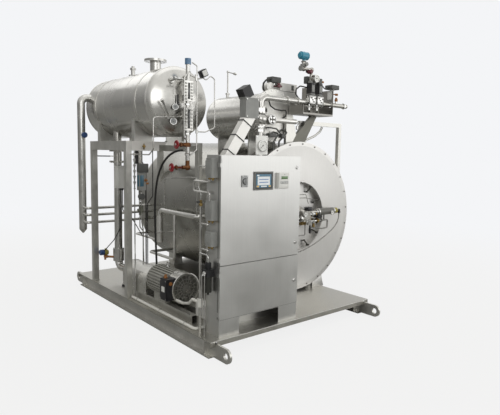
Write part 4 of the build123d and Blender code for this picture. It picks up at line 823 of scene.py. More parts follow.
def dress_cabinet():
    """Latches, seals, the panel screen, the controller's fittings and the switch on the doors."""
    latch = [(0, 18), (4, 18), (6, 16), (6, 11), (9, 11), (11, 9), (11, 0)]
    for name, height, body in (
        ("upper_latch", 1.552, "upper_door"),
        ("middle_latch", 0.867, "upper_door"),
        ("lower_latch", 0.512, "lower_door"),
    ):
        foot = (-0.057, CABINET_FRONT, height)
        slot_low = (-0.0585, CABINET_FRONT - 0.0125, height - 0.006)
        slot_high = (-0.0555, CABINET_FRONT - 0.0108, height + 0.006)
        piece(name, [turned(foot, FRONT, latch, 28)], CHROME, body)
        piece(name + "_slot", [block(slot_low, slot_high, 0.3, 1)], INK, body)
    low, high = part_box("touch_screen")
    floor_y = low.y + 0.002
    margin = 0.014
    panes = (
        ("screen_frame", 0.0, 1.0, 0.0, 1.0, 0.8, INK),
        ("screen_border", 0.04, 0.96, 0.06, 0.94, 1.1, SCREEN_TEAL),
        ("screen_field", 0.13, 0.87, 0.22, 0.78, 1.3, SCREEN_WHITE),
        ("screen_title", 0.08, 0.22, 0.82, 0.90, 1.3, SCREEN_WHITE),
        ("screen_left_key", 0.07, 0.22, 0.09, 0.20, 1.5, SCREEN_ORANGE),
        ("screen_right_key", 0.80, 0.93, 0.09, 0.20, 1.5, SCREEN_ORANGE),
        ("screen_key_row", 0.34, 0.68, 0.10, 0.18, 1.5, SCREEN_WHITE),
        ("screen_value_row", 0.22, 0.78, 0.57, 0.62, 1.5, SCREEN_BLUE),
        ("screen_second_row", 0.22, 0.78, 0.38, 0.43, 1.5, SCREEN_BLUE),
    )
    left, wide = low.x + margin, high.x - low.x - 2 * margin
    foot, tall = low.z + margin, high.z - low.z - 2 * margin
    for name, x_from, x_to, z_from, z_to, proud, material in panes:
        corner = (left + x_from * wide, floor_y - proud / 1000, foot + z_from * tall)
        other = (left + x_to * wide, floor_y, foot + z_to * tall)
        piece(name, [block(corner, other, 0.2, 1)], material, "upper_door")
    low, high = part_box("burner_controller")
    wide, tall = high.x - low.x, high.z - low.z
    fittings = (
        ("controller_display", 0.22, 0.86, 0.60, 0.78, 1.2, LCD_GREEN),
        ("controller_keys", 0.14, 0.92, 0.32, 0.46, 1.6, GREY_PLASTIC),
        ("controller_flap", 0.10, 0.92, 0.08, 0.24, 1.0, PALE_PLASTIC),
        ("controller_lamp", 0.50, 0.58, 0.87, 0.92, 1.4, GREY_PLASTIC),
    )
    for name, x_from, x_to, z_from, z_to, proud, material in fittings:
        corner = (low.x + x_from * wide, low.y - proud / 1000, low.z + z_from * tall)
        other = (low.x + x_to * wide, low.y + 0.002, low.z + z_to * tall)
        piece(name, [block(corner, other, 0.6)], material, "upper_door")
    keys = []
    for column in range(5):
        x = low.x + (0.22 + 0.155 * column) * wide
        z = low.z + 0.39 * tall
        keys.append(turned((x, low.y - 0.0012, z), FRONT, [(0, 5), (2.4, 5), (3, 4), (3, 0)], 16))
    piece("controller_buttons", keys, PALE_PLASTIC, "upper_door")
    seams = [
        block(
            (CABINET_LEFT - 0.0008, CABINET_FRONT + 0.0252, 0.300),
            (CABINET_LEFT + 0.004, CABINET_FRONT + 0.034, 1.650),
            0.4,
            1,
        ),
        block(
            (CABINET_LEFT + 0.004, CABINET_FRONT + 0.001, 0.2935),
            (-0.019, CABINET_FRONT + 0.012, 0.2958),
            0.3,
            1,
        ),
    ]
    piece("door_seals", seams, DARK_GREY)
    low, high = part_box("main_switch")
    middle = (low + high) / 2
    pin = block(
        (middle.x - 0.0015, low.y - 0.0006, middle.z + 0.004),
        (middle.x + 0.0015, low.y + 0.002, middle.z + 0.019),
        0.3,
        1,
    )
    piece("switch_pointer", [pin], PALE_PLASTIC, "upper_door")
    screws = []
    for x in (low.x + 0.008, high.x - 0.008):
        for z in (low.z + 0.008, high.z - 0.008):
            screws.append(turned((x, CABINET_FRONT - 0.008, z), FRONT, [(0, 4), (1.6, 3.6), (2.2, 0)], 12))
    ring = turned(
        (middle.x, CABINET_FRONT - 0.008, middle.z), FRONT, [(0, 27), (2, 27), (2.6, 26), (2.6, 0)], 32
    )
    piece("switch_ring", [ring], BLACK_PLASTIC, "upper_door")
    piece("switch_screws", screws, CHROME, "upper_door")


def dress_cabinet_side():
    """Valve lids and glands, bellows, needle valve, tubes, filter gauge and motor lead."""
    brass, lids, screws = [], [], []
    for low_z, high_z in ((1.470, 1.628), (1.122, 1.286), (0.908, 1.030)):
        for y in (-1.274, -1.318):
            brass.append(
                turned((SIDE_VALVE_X, y, low_z), DOWN, [(0, 11), (9, 11), (9, 8), (22, 8), (22, 0)], 16)
            )
            brass += [hexagon((SIDE_VALVE_X, y, low_z - 0.004), DOWN, 26, 9)]
        lid = block((-0.9695, -1.335, low_z + 0.02), (-0.965, -1.253, high_z - 0.02), 1.6)
        lids.append(lid)
        for z in (low_z + 0.03, high_z - 0.03):
            screws.append(turned((-0.9692, -1.294, z), LEFT, SCREW_HEAD, 12))
    piece("side_valve_glands", brass, BRASS)
    piece("side_valve_lids", lids, CAST_GREY)
    piece("side_valve_screws", screws, CHROME)
    bellows_route = [
        (SIDE_VALVE_X, -1.274, 1.452),
        (SIDE_VALVE_X, -1.274, 1.432),
        (SIDE_VALVE_X, -1.040, 1.432),
        (SIDE_VALVE_X, -1.040, 1.345),
        (SIDE_VALVE_X, -1.274, 1.345),
        (SIDE_VALVE_X, -1.274, 1.284),
    ]
    bellows = [bent_pipe(bellows_route, 9, 14)]
    for step in range(24):
        y = -1.245 + step * 0.008
        for z in (1.432, 1.345):
            bellows.append(turned((SIDE_VALVE_X, y, z), BACK, [(-2.4, 9), (0, 11.2), (2.4, 9)], 12))
    piece("bellows_tube", bellows, PIPE_STEEL)
    needle = [
        turned(
            (-0.946, -1.160, 1.226),
            UP,
            [(0, 13), (14, 13), (14, 9), (40, 9), (40, 12), (52, 12), (52, 0)],
            16,
        ),
        hexagon((-0.946, -1.160, 1.236), UP, 30, 14),
    ]
    piece("needle_valve", needle, BRASS)
    handle = [
        turned((-0.946, -1.160, 1.262), LEFT, [(0, 5), (24, 5), (24, 8), (34, 8), (36, 0)], 14),
        bent_pipe([(-0.976, -1.186, 1.262), (-0.976, -1.134, 1.262)], 4, 2),
    ]
    piece("needle_valve_handle", handle, BLACK_PLASTIC)
    capillary = [
        bent_pipe(
            [
                (-0.946, -1.160, 1.275), (-0.946, -1.160, 1.330), (-0.930, -1.100, 1.380),
                (-0.930, -1.100, 1.560), (-0.930, -1.250, 1.560),
            ],
            4,
            20,
        ),
        bent_pipe([(-0.952, -1.284, 0.768), (-0.952, -1.284, 0.830), (-0.952, -1.160, 0.830)], 7, 26),
        bent_pipe(
            [
                (-0.985, -1.270, 0.675), (-1.004, -1.270, 0.675), (-1.004, -1.270, 0.330),
                (-0.960, -1.200, 0.300),
            ],
            4,
            18,
        ),
        bent_pipe([(-0.985, -1.298, 0.675), (-0.996, -1.298, 0.675), (-0.996, -1.298, 0.152)], 4, 9),
    ]
    piece("instrument_tubes", capillary, CHROME)
    knob_ribs = []
    for angle in around(18):
        x = -0.952 + 0.0235 * math.cos(angle)
        y = -1.284 + 0.0235 * math.sin(angle)
        knob_ribs.append(block((x - 0.002, y - 0.002, 0.722), (x + 0.002, y + 0.002, 0.766), 0.8, 1))
    piece("filter_knob_ribs", knob_ribs, BLACK_PLASTIC)
    dial("filter_gauge", (-0.984, -1.284, 0.683), LEFT, 20)
    lead = [
        bent_pipe(
            [
                (-0.946, -1.130, 0.400), (-0.946, -1.040, 0.400), (-0.930, -0.960, 0.340),
                (-0.900, -0.820, 0.300), (-0.900, -0.700, 0.300),
            ],
            12,
            40,
        ),
        hexagon((-0.946, -1.150, 0.400), BACK, 40, 22),
        turned((-0.946, -1.160, 0.360), UP, [(0, 20), (4, 24), (76, 24), (80, 20)], 20),
    ]
    for step in range(9):
        lead.append(
            turned((-0.946, -1.122 + step * 0.009, 0.400), BACK, [(-3, 12), (0, 14.4), (3, 12)], 12)
        )
    piece("motor_lead", lead, CONDUIT_PLASTIC)


def dress_deck():
    """The deck's front edge with a painted highlight, rings and clips of the conduit, foot bolts and a
    plug.
    """
    # A pale strip on the deck's front top edge: a painted highlight along the edge
    edge = block((-1.020, -1.4296, DECK_TOP - 0.007), (1.020, -1.4274, DECK_TOP + 0.0006), 0.5, 1)
    piece("deck_edge_painted_highlight", [edge], PALE_SHEET)
    rings = []
    for step in range(82):
        y = -1.070 + step * 0.0135
        rings.append(turned((-0.968, y, 0.159), BACK, [(-3.2, 12.6), (0, 15), (3.2, 12.6)], 10))
    piece("conduit_rings", rings, CONDUIT_PLASTIC)
    clips = []
    for y in (-0.96, -0.52, -0.06):
        clips.append(
            bent_pipe(
                [
                    (-0.999, y, 0.150), (-0.985, y, 0.150), (-0.985, y, 0.177), (-0.951, y, 0.177),
                    (-0.951, y, 0.150), (-0.937, y, 0.150),
                ],
                2.5,
                5,
                8,
            )
        )
        clips += bolt((-0.9385, y, 0.146), UP, 5) + bolt((-0.9975, y, 0.146), UP, 5)
    piece("conduit_clips", clips, CHROME)
    bolts = []
    for x in (0.254, 0.954):
        for y in (-0.622, -0.516, 1.182, 1.288):
            for side in (-1, 1):
                bolts += bolt((x + side * 0.0685, y, DECK_TOP + 0.010), UP, 8)
    piece("boiler_foot_bolts", bolts, CHROME)
    plug = turned(
        (-0.838, 0.542, DECK_TOP), UP, [(0, 24), (10, 24), (18, 18), (26, 18), (28, 14), (28, 0)], 20
    )
    piece("deck_plug", [plug], BLACK_PLASTIC)


def dress_front_plate():
    """Rim bolts, the dish inside the rim, a foot gusset, burner clamps and the opening's lip."""
    bolts = []
    for angle in around(26, 0.16):
        foot = on_ring(DRUM, DRUM_FRONT, PLATE_RADIUS - RIM_BAND / 2, angle)
        bolts += bolt(foot, FRONT, 9)
    piece("rim_bolts", bolts, FITTING_STEEL)
    step_foot = DRUM + Vector((0, DRUM_FRONT + 0.008, 0))
    edge = (PLATE_RADIUS - RIM_BAND) * 1000
    reach = 240
    rise = 7.85
    skin = 0.05
    gap = 0.4
    steps = 12
    dish = []
    for step in range(steps + 1):
        share = step / steps
        dish.append((skin + rise * share ** 2, edge - reach + (reach - gap) * share))
    dish += [(skin, edge - gap), (skin, edge - reach)]
    piece("rim_dish", [turned(step_foot, FRONT, dish, 128)], PLATE_STEEL)
    gusset = bmesh.new()
    gusset_front = -0.768
    gusset_thickness = 0.026
    gusset_edge = 0.0015
    outline = ((0.862, DECK_TOP), (1.054, DECK_TOP), (1.010, 0.284), (0.985, 0.292), (0.862, 0.236))
    side = gusset.faces.new([gusset.verts.new((x, gusset_front, z)) for x, z in outline])
    grown = bmesh.ops.extrude_face_region(gusset, geom=[side])["geom"]
    far_side = [part for part in grown if isinstance(part, bmesh.types.BMVert)]
    bmesh.ops.translate(gusset, vec=(0, gusset_thickness, 0), verts=far_side)
    bmesh.ops.recalc_face_normals(gusset, faces=gusset.faces)
    eased(gusset, gusset.edges[:], gusset_edge, 2)
    piece("front_plate_foot", [gusset], PLATE_STEEL)
    clamps, screws = [], []
    for angle in around(12, 0.08):
        out = Vector((math.sin(angle), 0, math.cos(angle)))
        across = Vector((math.cos(angle), 0, -math.sin(angle)))
        wall = DRUM + out * 0.380
        knee = wall + out * -0.012 + Vector((0, -0.752, 0))
        tip = DRUM + out * 0.318 + Vector((0, -0.722, 0))
        hook = tip + across * 0.020 + Vector((0, 0.012, 0))
        clamps.append(bent_pipe([wall + Vector((0, -0.752, 0)), knee, tip, hook], 8, 9, 10))
        clamps.append(turned(wall + Vector((0, -0.768, 0)), BACK, [(0, 0), (0, 14), (30, 14), (30, 0)], 14))
        screws += bolt(tip + Vector((0, -0.006, 0)), FRONT, 8)
    piece("burner_clamps", clamps, DARK_STEEL)
    piece("burner_clamp_screws", screws, DARK_STEEL)
    cup = CUP_RADIUS * 1000
    profile = [(0, cup), (0, cup + 14), (6, cup + 14), (8, cup + 12), (8, cup - 4), (0, cup - 4)]
    lip = turned(step_foot, FRONT, profile, 96)
    piece("burner_opening_lip", [lip], PLATE_STEEL)


def dress_burner():
    """Gas fittings, unions, solenoids, gauges and tubes at the burner, and the sensor's collars."""
    bright = [
        turned(
            (0.669, TRAIN_Y, 0.940), RIGHT, [(0, 20), (60, 20), (60, 26), (84, 26), (84, 18), (140, 18)], 20
        ),
        hexagon((0.735, TRAIN_Y, 0.940), RIGHT, 62, 18),
        turned(
            (0.604, -0.894, 0.945),
            FRONT,
            [(0, 30), (16, 30), (16, 22), (44, 22), (44, 27), (58, 27), (58, 0)],
            20,
        ),
        turned((0.539, -0.868, 0.985), LEFT, [(0, 42), (20, 42), (20, 36), (24, 36), (24, 27)], 24),
        hexagon((0.604, -0.910, 0.945), FRONT, 66, 16),
        turned(
            (0.669, -0.868, 1.020), RIGHT, [(0, 17), (30, 17), (30, 23), (46, 23), (46, 15), (92, 15)], 18
        ),
        hexagon((0.700, -0.868, 1.020), RIGHT, 48, 14),
    ]
    piece("burner_gas_fittings", bright, CHROME)
    brass = [
        turned((0.809, TRAIN_Y, 0.940), RIGHT, [(0, 24), (24, 24), (24, 0)], 18),
        hexagon((0.806, TRAIN_Y, 0.940), RIGHT, 56, 16),
        turned(
            (0.700, TRAIN_Y, 0.950),
            UP,
            [(0, 16), (40, 16), (40, 22), (58, 22), (58, 14), (84, 14), (84, 0)],
            18,
        ),
        turned((0.760, TRAIN_Y, 0.915), DOWN, [(0, 14), (26, 14), (26, 19), (40, 19), (40, 0)], 16),
        turned((0.761, -0.868, 1.020), RIGHT, [(0, 21), (16, 21), (16, 0)], 18),
    ]
    piece("burner_brass_unions", brass, BRASS)
    dark = [
        block((0.590, -0.930, 1.066), (0.650, -0.866, 1.106), 6),
        turned((0.690, -0.868, 0.905), DOWN, [(0, 8), (30, 8), (30, 12), (92, 12), (96, 8), (96, 0)], 14),
        block((0.800, -0.890, 0.975), (0.850, -0.830, 1.000), 5),
    ]
    piece("burner_solenoids", dark, BLACK_PLASTIC)
    dial("burner_gauge_left", (0.578, -0.894, 1.029), FRONT, 33)
    dial("burner_gauge_right", (1.015, -0.888, 1.024), FRONT, 28)
    stems = [
        turned(
            (0.860, TRAIN_Y, 0.940),
            RIGHT,
            [(-26, 12), (20, 12), (20, 18), (36, 18), (36, 10), (90, 10), (90, 0)],
            16,
        ),
        turned((0.930, TRAIN_Y, 0.945), UP, [(0, 9), (64, 9), (64, 0)], 14),
        bent_pipe(
            [
                (0.946, TRAIN_Y, 0.940), (0.990, TRAIN_Y, 0.940), (0.990, TRAIN_Y, 0.850),
                (0.900, TRAIN_Y, 0.845), (0.800, -0.800, 0.860), (0.760, -0.790, 0.870),
            ],
            8,
            14,
        ),
        bent_pipe(
            [
                (0.760, TRAIN_Y, 0.985), (0.760, TRAIN_Y, 1.180), (0.640, -0.830, 1.200),
                (0.560, -0.800, 1.200),
            ],
            4,
            16,
        ),
        bent_pipe(
            [
                (0.520, TRAIN_Y, 1.010), (0.520, TRAIN_Y, 1.240), (0.640, -0.840, 1.240),
                (0.640, -0.880, 1.140),
            ],
            4,
            16,
        ),
        bent_pipe(
            [
                (0.600, -0.880, 0.915), (0.600, -0.880, 0.800), (0.520, -0.870, 0.800),
                (0.460, -0.860, 0.800), (0.460, -0.860, 0.860),
            ],
            6,
            16,
        ),
    ]
    piece("burner_tubes", stems, BRAID)
    collar = [
        turned((0.829, TRAIN_Y, 1.038), LEFT, [(0, 44), (16, 44), (16, 30), (30, 26), (30, 0)], 28),
        turned((1.080, TRAIN_Y, 1.038), LEFT, [(0, 41), (10, 41), (14, 39)], 28),
    ]
    piece("sensor_collars", collar, CHROME)
    ribs = [
        turned((1.136 + 0.008 * step, TRAIN_Y, 1.038), RIGHT, [(0, 13), (0, 16.5), (4, 16.5), (4, 13)], 16)
        for step in range(4)
    ]
    ribs += [hexagon((1.187, TRAIN_Y, 1.020), DOWN, 34, 14)]
    piece("sensor_gland_ribs", ribs, BLACK_PLASTIC)


def dress_tank():
    """Weld beads, straps, dials, a level strip, stubs and small pipes on the feed tank."""
    beads = []
    for y in (TANK_FRONT, TANK_REAR):
        for offset in (-0.009, 0.009):
            beads.append(weld_bead(TANK, y + offset, TANK_RADIUS, 3, 2.4, 96))
    for y in (0.260, 0.745):
        beads.append(weld_bead(TANK, y, TANK_RADIUS, 4, 1.6, 96))
    piece("tank_weld_beads", beads, HEAD_STEEL)
    wells = [
        turned(
            (-0.724, -0.250, 2.101), FRONT, [(0, 16), (60, 16), (60, 21), (78, 21), (78, 9), (130, 9)], 18
        ),
        turned(
            (-0.734, -0.240, 1.963), FRONT, [(0, 16), (60, 16), (60, 21), (78, 21), (78, 9), (120, 9)], 18
        ),
        turned(
            (-0.741, -0.220, 2.362),
            FRONT,
            [(0, 20), (110, 20), (110, 30), (126, 30), (126, 14), (160, 14), (160, 0)],
            20,
        ),
        turned((-0.789, -0.250, 2.003), FRONT, [(0, 14), (90, 14), (90, 19), (110, 19), (110, 0)], 18),
        bent_pipe([(-0.789, -0.330, 2.003), (-0.789, -0.372, 2.003), (-0.872, -0.420, 2.116)], 7, 16),
        turned(
            (-0.872, -0.420, 2.116),
            (-0.6, -0.3, 0.74),
            [(0, 12), (34, 12), (34, 17), (52, 17), (54, 0)],
            18,
        ),
        bent_pipe(
            [
                (-0.651, -0.300, 2.010), (-0.651, -0.385, 2.010), (-0.966, -0.385, 1.991),
                (-0.966, -0.385, 1.690), (-0.966, -0.300, 1.640), (-0.966, 0.090, 1.640),
            ],
            6,
            30,
        ),
        bent_pipe([(-0.741, -0.370, 2.362), (-0.741, GAUGE_Y, 2.362), (-0.694, GAUGE_Y, 2.353)], 6, 16),
    ]
    piece("tank_head_fittings", wells, PIPE_STEEL)
    dial("tank_dial_upper", (-0.724, -0.376, 2.101), (-0.35, -0.92, 0.12), 30, GREY_PLASTIC)
    dial("tank_dial_lower", (-0.734, -0.356, 1.963), (-0.35, -0.92, 0.12), 34, GREY_PLASTIC)
    strip = block((-0.706, -0.398, 2.118), (-0.698, -0.372, 2.222), 2)
    piece("tank_level_strip", [strip], BLACK_PLASTIC)
    straps = []
    for y in (0.010, 0.990):
        foot = TANK + Vector((0, y, 0))
        radius = TANK_RADIUS * 1000
        straps.append(
            turned(
                foot, BACK, [(-22, radius - 1), (-22, radius + 3), (22, radius + 3), (22, radius - 1)], 96
            )
        )
    piece("tank_straps", straps, SHEET_STEEL)
    stubs = [
        turned(
            (-0.700, 0.560, 2.500),
            UP,
            [(0, 22), (60, 22), (60, 32), (80, 32), (80, 16), (100, 16), (100, 0)],
            20,
        ),
        turned((-0.560, 0.900, 2.500), UP, [(0, 16), (44, 16), (44, 24), (60, 24), (60, 0)], 20),
    ]
    piece("tank_top_stubs", stubs, PIPE_STEEL)


def dress_level_gauge():
    """Glass, clamp nuts, tubes, cocks and switch of the gauge, and the wheels' nuts and webs."""
    low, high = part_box("level_gauge")
    front = low.y
    glass, beads = [], []
    for z_from, z_to in ((1.880, 2.100), (2.160, 2.350)):
        glass.append(
            block(
                (GAUGE_X - 0.012, front + 0.002, z_from + 0.018),
                (GAUGE_X + 0.012, front + 0.010, z_to - 0.018),
                1.5,
            )
        )
        count = 6
        for step in range(count):
            z = z_from + 0.022 + (z_to - z_from - 0.044) * step / (count - 1)
            for side in (-1, 1):
                beads.append(
                    turned(
                        (GAUGE_X + side * 0.032, front, z),
                        FRONT,
                        [(0, 11), (6, 11), (10, 8.5), (12, 5), (12, 0)],
                        14,
                    )
                )
    piece("gauge_glass", glass, DARK_GLASS)
    piece("gauge_clamp_nuts", beads, WHITE_ENAMEL)
    tubes = [
        bent_pipe(
            [
                (-0.605, -0.455, 2.437), (-0.640, -0.490, 2.437), (-0.694, -0.490, 2.370),
                (-0.694, -0.490, 1.815), (-0.640, -0.460, 1.770),
            ],
            6,
            24,
        ),
        bent_pipe(
            [
                (-0.583, GAUGE_Y, 2.530), (-0.524, GAUGE_Y, 2.505), (-0.524, GAUGE_Y, 1.694),
                (-0.600, GAUGE_Y, 1.640),
            ],
            6,
            24,
        ),
        bent_pipe(
            [
                (-0.455, GAUGE_Y, 2.400), (-0.420, GAUGE_Y, 2.380), (-0.365, GAUGE_Y, 2.427),
                (-0.316, GAUGE_Y, 2.400), (-0.310, GAUGE_Y, 1.919), (-0.425, GAUGE_Y, 1.874),
                (-0.524, GAUGE_Y, 1.874),
            ],
            6,
            24,
        ),
        bent_pipe([(GAUGE_X, GAUGE_Y, 2.418), (-0.513, GAUGE_Y, 2.382), (-0.455, GAUGE_Y, 2.400)], 7, 20),
    ]
    piece("gauge_tubes", tubes, PIPE_STEEL)
    cocks = [
        turned(
            (-0.720, GAUGE_Y, 2.362),
            LEFT,
            [(-30, 10), (0, 10), (0, 16), (26, 16), (26, 10), (52, 10), (52, 18), (64, 18), (64, 0)],
            18,
        ),
        turned(
            (-0.535, GAUGE_Y, 2.382),
            UP,
            [(-20, 13), (14, 13), (14, 8), (30, 8), (30, 15), (38, 15), (38, 0)],
            18,
        ),
        turned((-0.524, GAUGE_Y, 1.874), UP, [(-18, 13), (18, 13)], 16),
        hexagon((GAUGE_X, GAUGE_Y, 2.512), UP, 52, 18),
        hexagon((GAUGE_X, GAUGE_Y, 2.120), UP, 50, 20),
        hexagon((GAUGE_X, GAUGE_Y, 1.840), UP, 50, 20),
        hexagon((GAUGE_X, GAUGE_Y, 1.640), UP, 48, 20),
    ]
    piece("gauge_cocks", cocks, CHROME)
    tilt = Matrix.Translation((-0.455, GAUGE_Y, 2.441)) @ Matrix.Rotation(math.radians(-28), 4, "Y")
    case = block((-0.036, -0.034, -0.036), (0.036, 0.030, 0.036), 7)
    bmesh.ops.transform(case, matrix=tilt, verts=case.verts)
    piece("pressure_switch", [case], BLACK_PLASTIC)
    cover = block((-0.027, -0.038, -0.027), (0.027, -0.033, 0.027), 2)
    bmesh.ops.transform(cover, matrix=tilt, verts=cover.verts)
    piece("pressure_switch_cover", [cover], PALE_PLASTIC)
    bronze = [
        hexagon((GAUGE_X, GAUGE_Y, 1.725), UP, 56, 34),
        hexagon((-0.700, GAUGE_Y, 1.742), LEFT, 40, 16),
        hexagon((-0.750, GAUGE_Y, 1.523), LEFT, 40, 16),
    ]
    piece("stop_valve_nuts", bronze, BRONZE)
    for name, x, z in (("upper", -0.753, 1.742), ("lower", -0.808, 1.523)):
        low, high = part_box(name + "_handwheel")
        nut = [
            hexagon((low.x, GAUGE_Y, z), LEFT, 18, 9),
            turned((low.x + 0.0005, GAUGE_Y, z), LEFT, [(0, 13), (2, 13), (2, 0)], 16),
        ]
        piece(name + "_wheel_nut", nut, CHROME, name + "_wheel")
        middle, reach = (low.x + high.x) / 2, (high.z - low.z) * 430
        web = turned((middle, GAUGE_Y, z), LEFT, [(-2, 9), (-2, reach), (2, reach), (2, 9), (-2, 9)], 32)
        piece(name + "_wheel_web", [web], WHEEL_RED, name + "_wheel")


def dress_economiser():
    """Weld beads, cover bolts and the probe on top of the economiser."""
    beads = [weld_bead(ECO, y, ECO_RADIUS, 4, 2.4, 80) for y in (-0.560, 0.215)]
    piece("economiser_weld_beads", beads, HEAD_STEEL)
    bolts = []
    for angle in around(20, 0.5):
        bolts += bolt(on_ring(ECO, -0.664, 0.259, angle), FRONT, 7)
    piece("economiser_cover_bolts", bolts, CHROME)
    probe = [
        turned(
            (0.300, 0.150, 2.300),
            UP,
            [(0, 18), (50, 18), (50, 26), (66, 26), (66, 9), (300, 9), (300, 14), (322, 14), (322, 0)],
            18,
        ),
        bent_pipe([(0.300, 0.150, 2.608), (0.300, 0.040, 2.580)], 6, 10),
        turned((0.300, 0.040, 2.580), (0, -1, -0.25), [(0, 6), (10, 15), (40, 15), (44, 0)], 16),
    ]
    piece("economiser_probe", probe, PIPE_STEEL)


def dress_gas_line():
    """Union nuts, the lobed valve cap, the lever sleeve and its catch, and the gauge face of the gas line.
    """
    nuts = [
        hexagon((-0.048, TRAIN_Y, 2.076), UP, 120, 40),
        hexagon((-0.048, TRAIN_Y, 1.884), UP, 88, 28),
        hexagon((-0.048, TRAIN_Y, 1.925), UP, 96, 18),
    ]
    piece("gas_union_nuts", nuts, CHROME)
    cap = Vector((0.060, -0.900, 2.006))
    rim = turned(cap, FRONT, [(0, 0), (0, 48), (6, 52), (12, 51), (14, 46), (14, 41), (4, 39), (4, 0)], 40)
    lobes = [rim]
    for angle in around(4, 0.5):
        lobes.append(
            turned(on_ring(cap, -0.904, 0.025, angle), FRONT, [(0, 13), (9, 13), (11, 11), (11, 0)], 18)
        )
    piece("gas_valve_cap", lobes, CHROME)
    well = turned(cap + Vector((0, -0.004, 0)), FRONT, [(0, 0), (0, 39), (1.5, 39), (1.5, 0)], 32)
    piece("gas_valve_well", [well], DARK_STEEL)
    sleeve = turned((0.445, TRAIN_Y, 2.006), LEFT, [(0, 0), (0, 20), (3, 25), (314, 25), (318, 22)], 28)
    piece("gas_lever_sleeve", [sleeve], FLANK_STEEL)
    eye = [
        bent_pipe(
            [
                (0.440, -0.862, 2.006), (0.466, -0.862, 2.004), (0.474, -0.862, 1.974),
                (0.450, -0.862, 1.952),
            ],
            6,
            14,
        ),
        turned((0.452, -0.862, 1.965), DOWN, [(0, 13), (36, 13), (40, 9), (40, 0)], 16),
    ]
    piece("gas_lever_catch", eye, CHROME)
    low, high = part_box("pressure_gauge")
    centre = Vector((-0.048, low.y, 1.748))
    rim = turned(centre, FRONT, [(-4, 52), (0, 57), (5, 57), (7, 54), (7, 50), (1, 49), (1, 0)], 48)
    piece("line_gauge_rim", [rim], CHROME)
    face = turned(centre, FRONT, [(0.5, 0), (0.5, 49), (2, 49), (2, 0)], 40)
    piece("line_gauge_face", [face], WHITE_ENAMEL)
    marks = []
    for step in range(13):
        long = 0.011 if step % 3 == 0 else 0.006
        mark = block((-0.0009, -0.0026, 0.045 - long), (0.0009, -0.0018, 0.045), 0.05, 1)
        turn = Matrix.Translation(centre) @ Matrix.Rotation(math.radians(22.5 * (step - 6)), 4, "Y")
        bmesh.ops.transform(mark, matrix=turn, verts=mark.verts)
        marks.append(mark)
    needle = block((-0.0016, -0.0045, -0.012), (0.0016, -0.003, 0.038), 0.3, 1)
    turn = Matrix.Translation(centre) @ Matrix.Rotation(math.radians(-130), 4, "Y")
    bmesh.ops.transform(needle, matrix=turn, verts=needle.verts)
    marks.append(needle)
    marks.append(turned(centre, FRONT, [(2, 5), (6, 5), (6.5, 3), (6.5, 0)], 16))
    piece("line_gauge_marks", marks, INK)
    screws = []
    for x in (low.x + 0.012, high.x - 0.012):
        for z in (low.z + 0.012, high.z - 0.012):
            screws.append(turned((x, -0.885, z), FRONT, [(0, 6), (2, 5.6), (3, 0)], 12))
    piece("gauge_plate_screws", screws, CHROME)


def dress_duct():
    """Straps round the sloping duct, and the damper actuator's screws."""
    start, end = Vector((-0.640, -1.040, 1.560)), Vector((-0.330, -1.040, 2.036))
    along = (end - start).normalized()
    across = Vector((along.z, 0, -along.x))
    straps = []
    for share in (0.24, 0.52, 0.80):
        middle = start.lerp(end, share)
        near = [
            middle + across * (side * 0.056) + Vector((0, depth, 0))
            for side, depth in ((-1, -0.039), (1, -0.039), (1, 0.039), (-1, 0.039))
        ]
        straps.append(bent_pipe(near + [near[0]], 4, 4, 8))
    piece("duct_straps", straps, BLACK_PLASTIC)
    low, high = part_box("damper_actuator")
    screws = []
    for x in (-0.408, -0.280):
        for z in (2.003, 2.156):
            screws.append(turned((x, low.y, z), FRONT, [(0, 6), (3, 5.5), (4, 0)], 12))
    piece("actuator_screws", screws, CHROME)


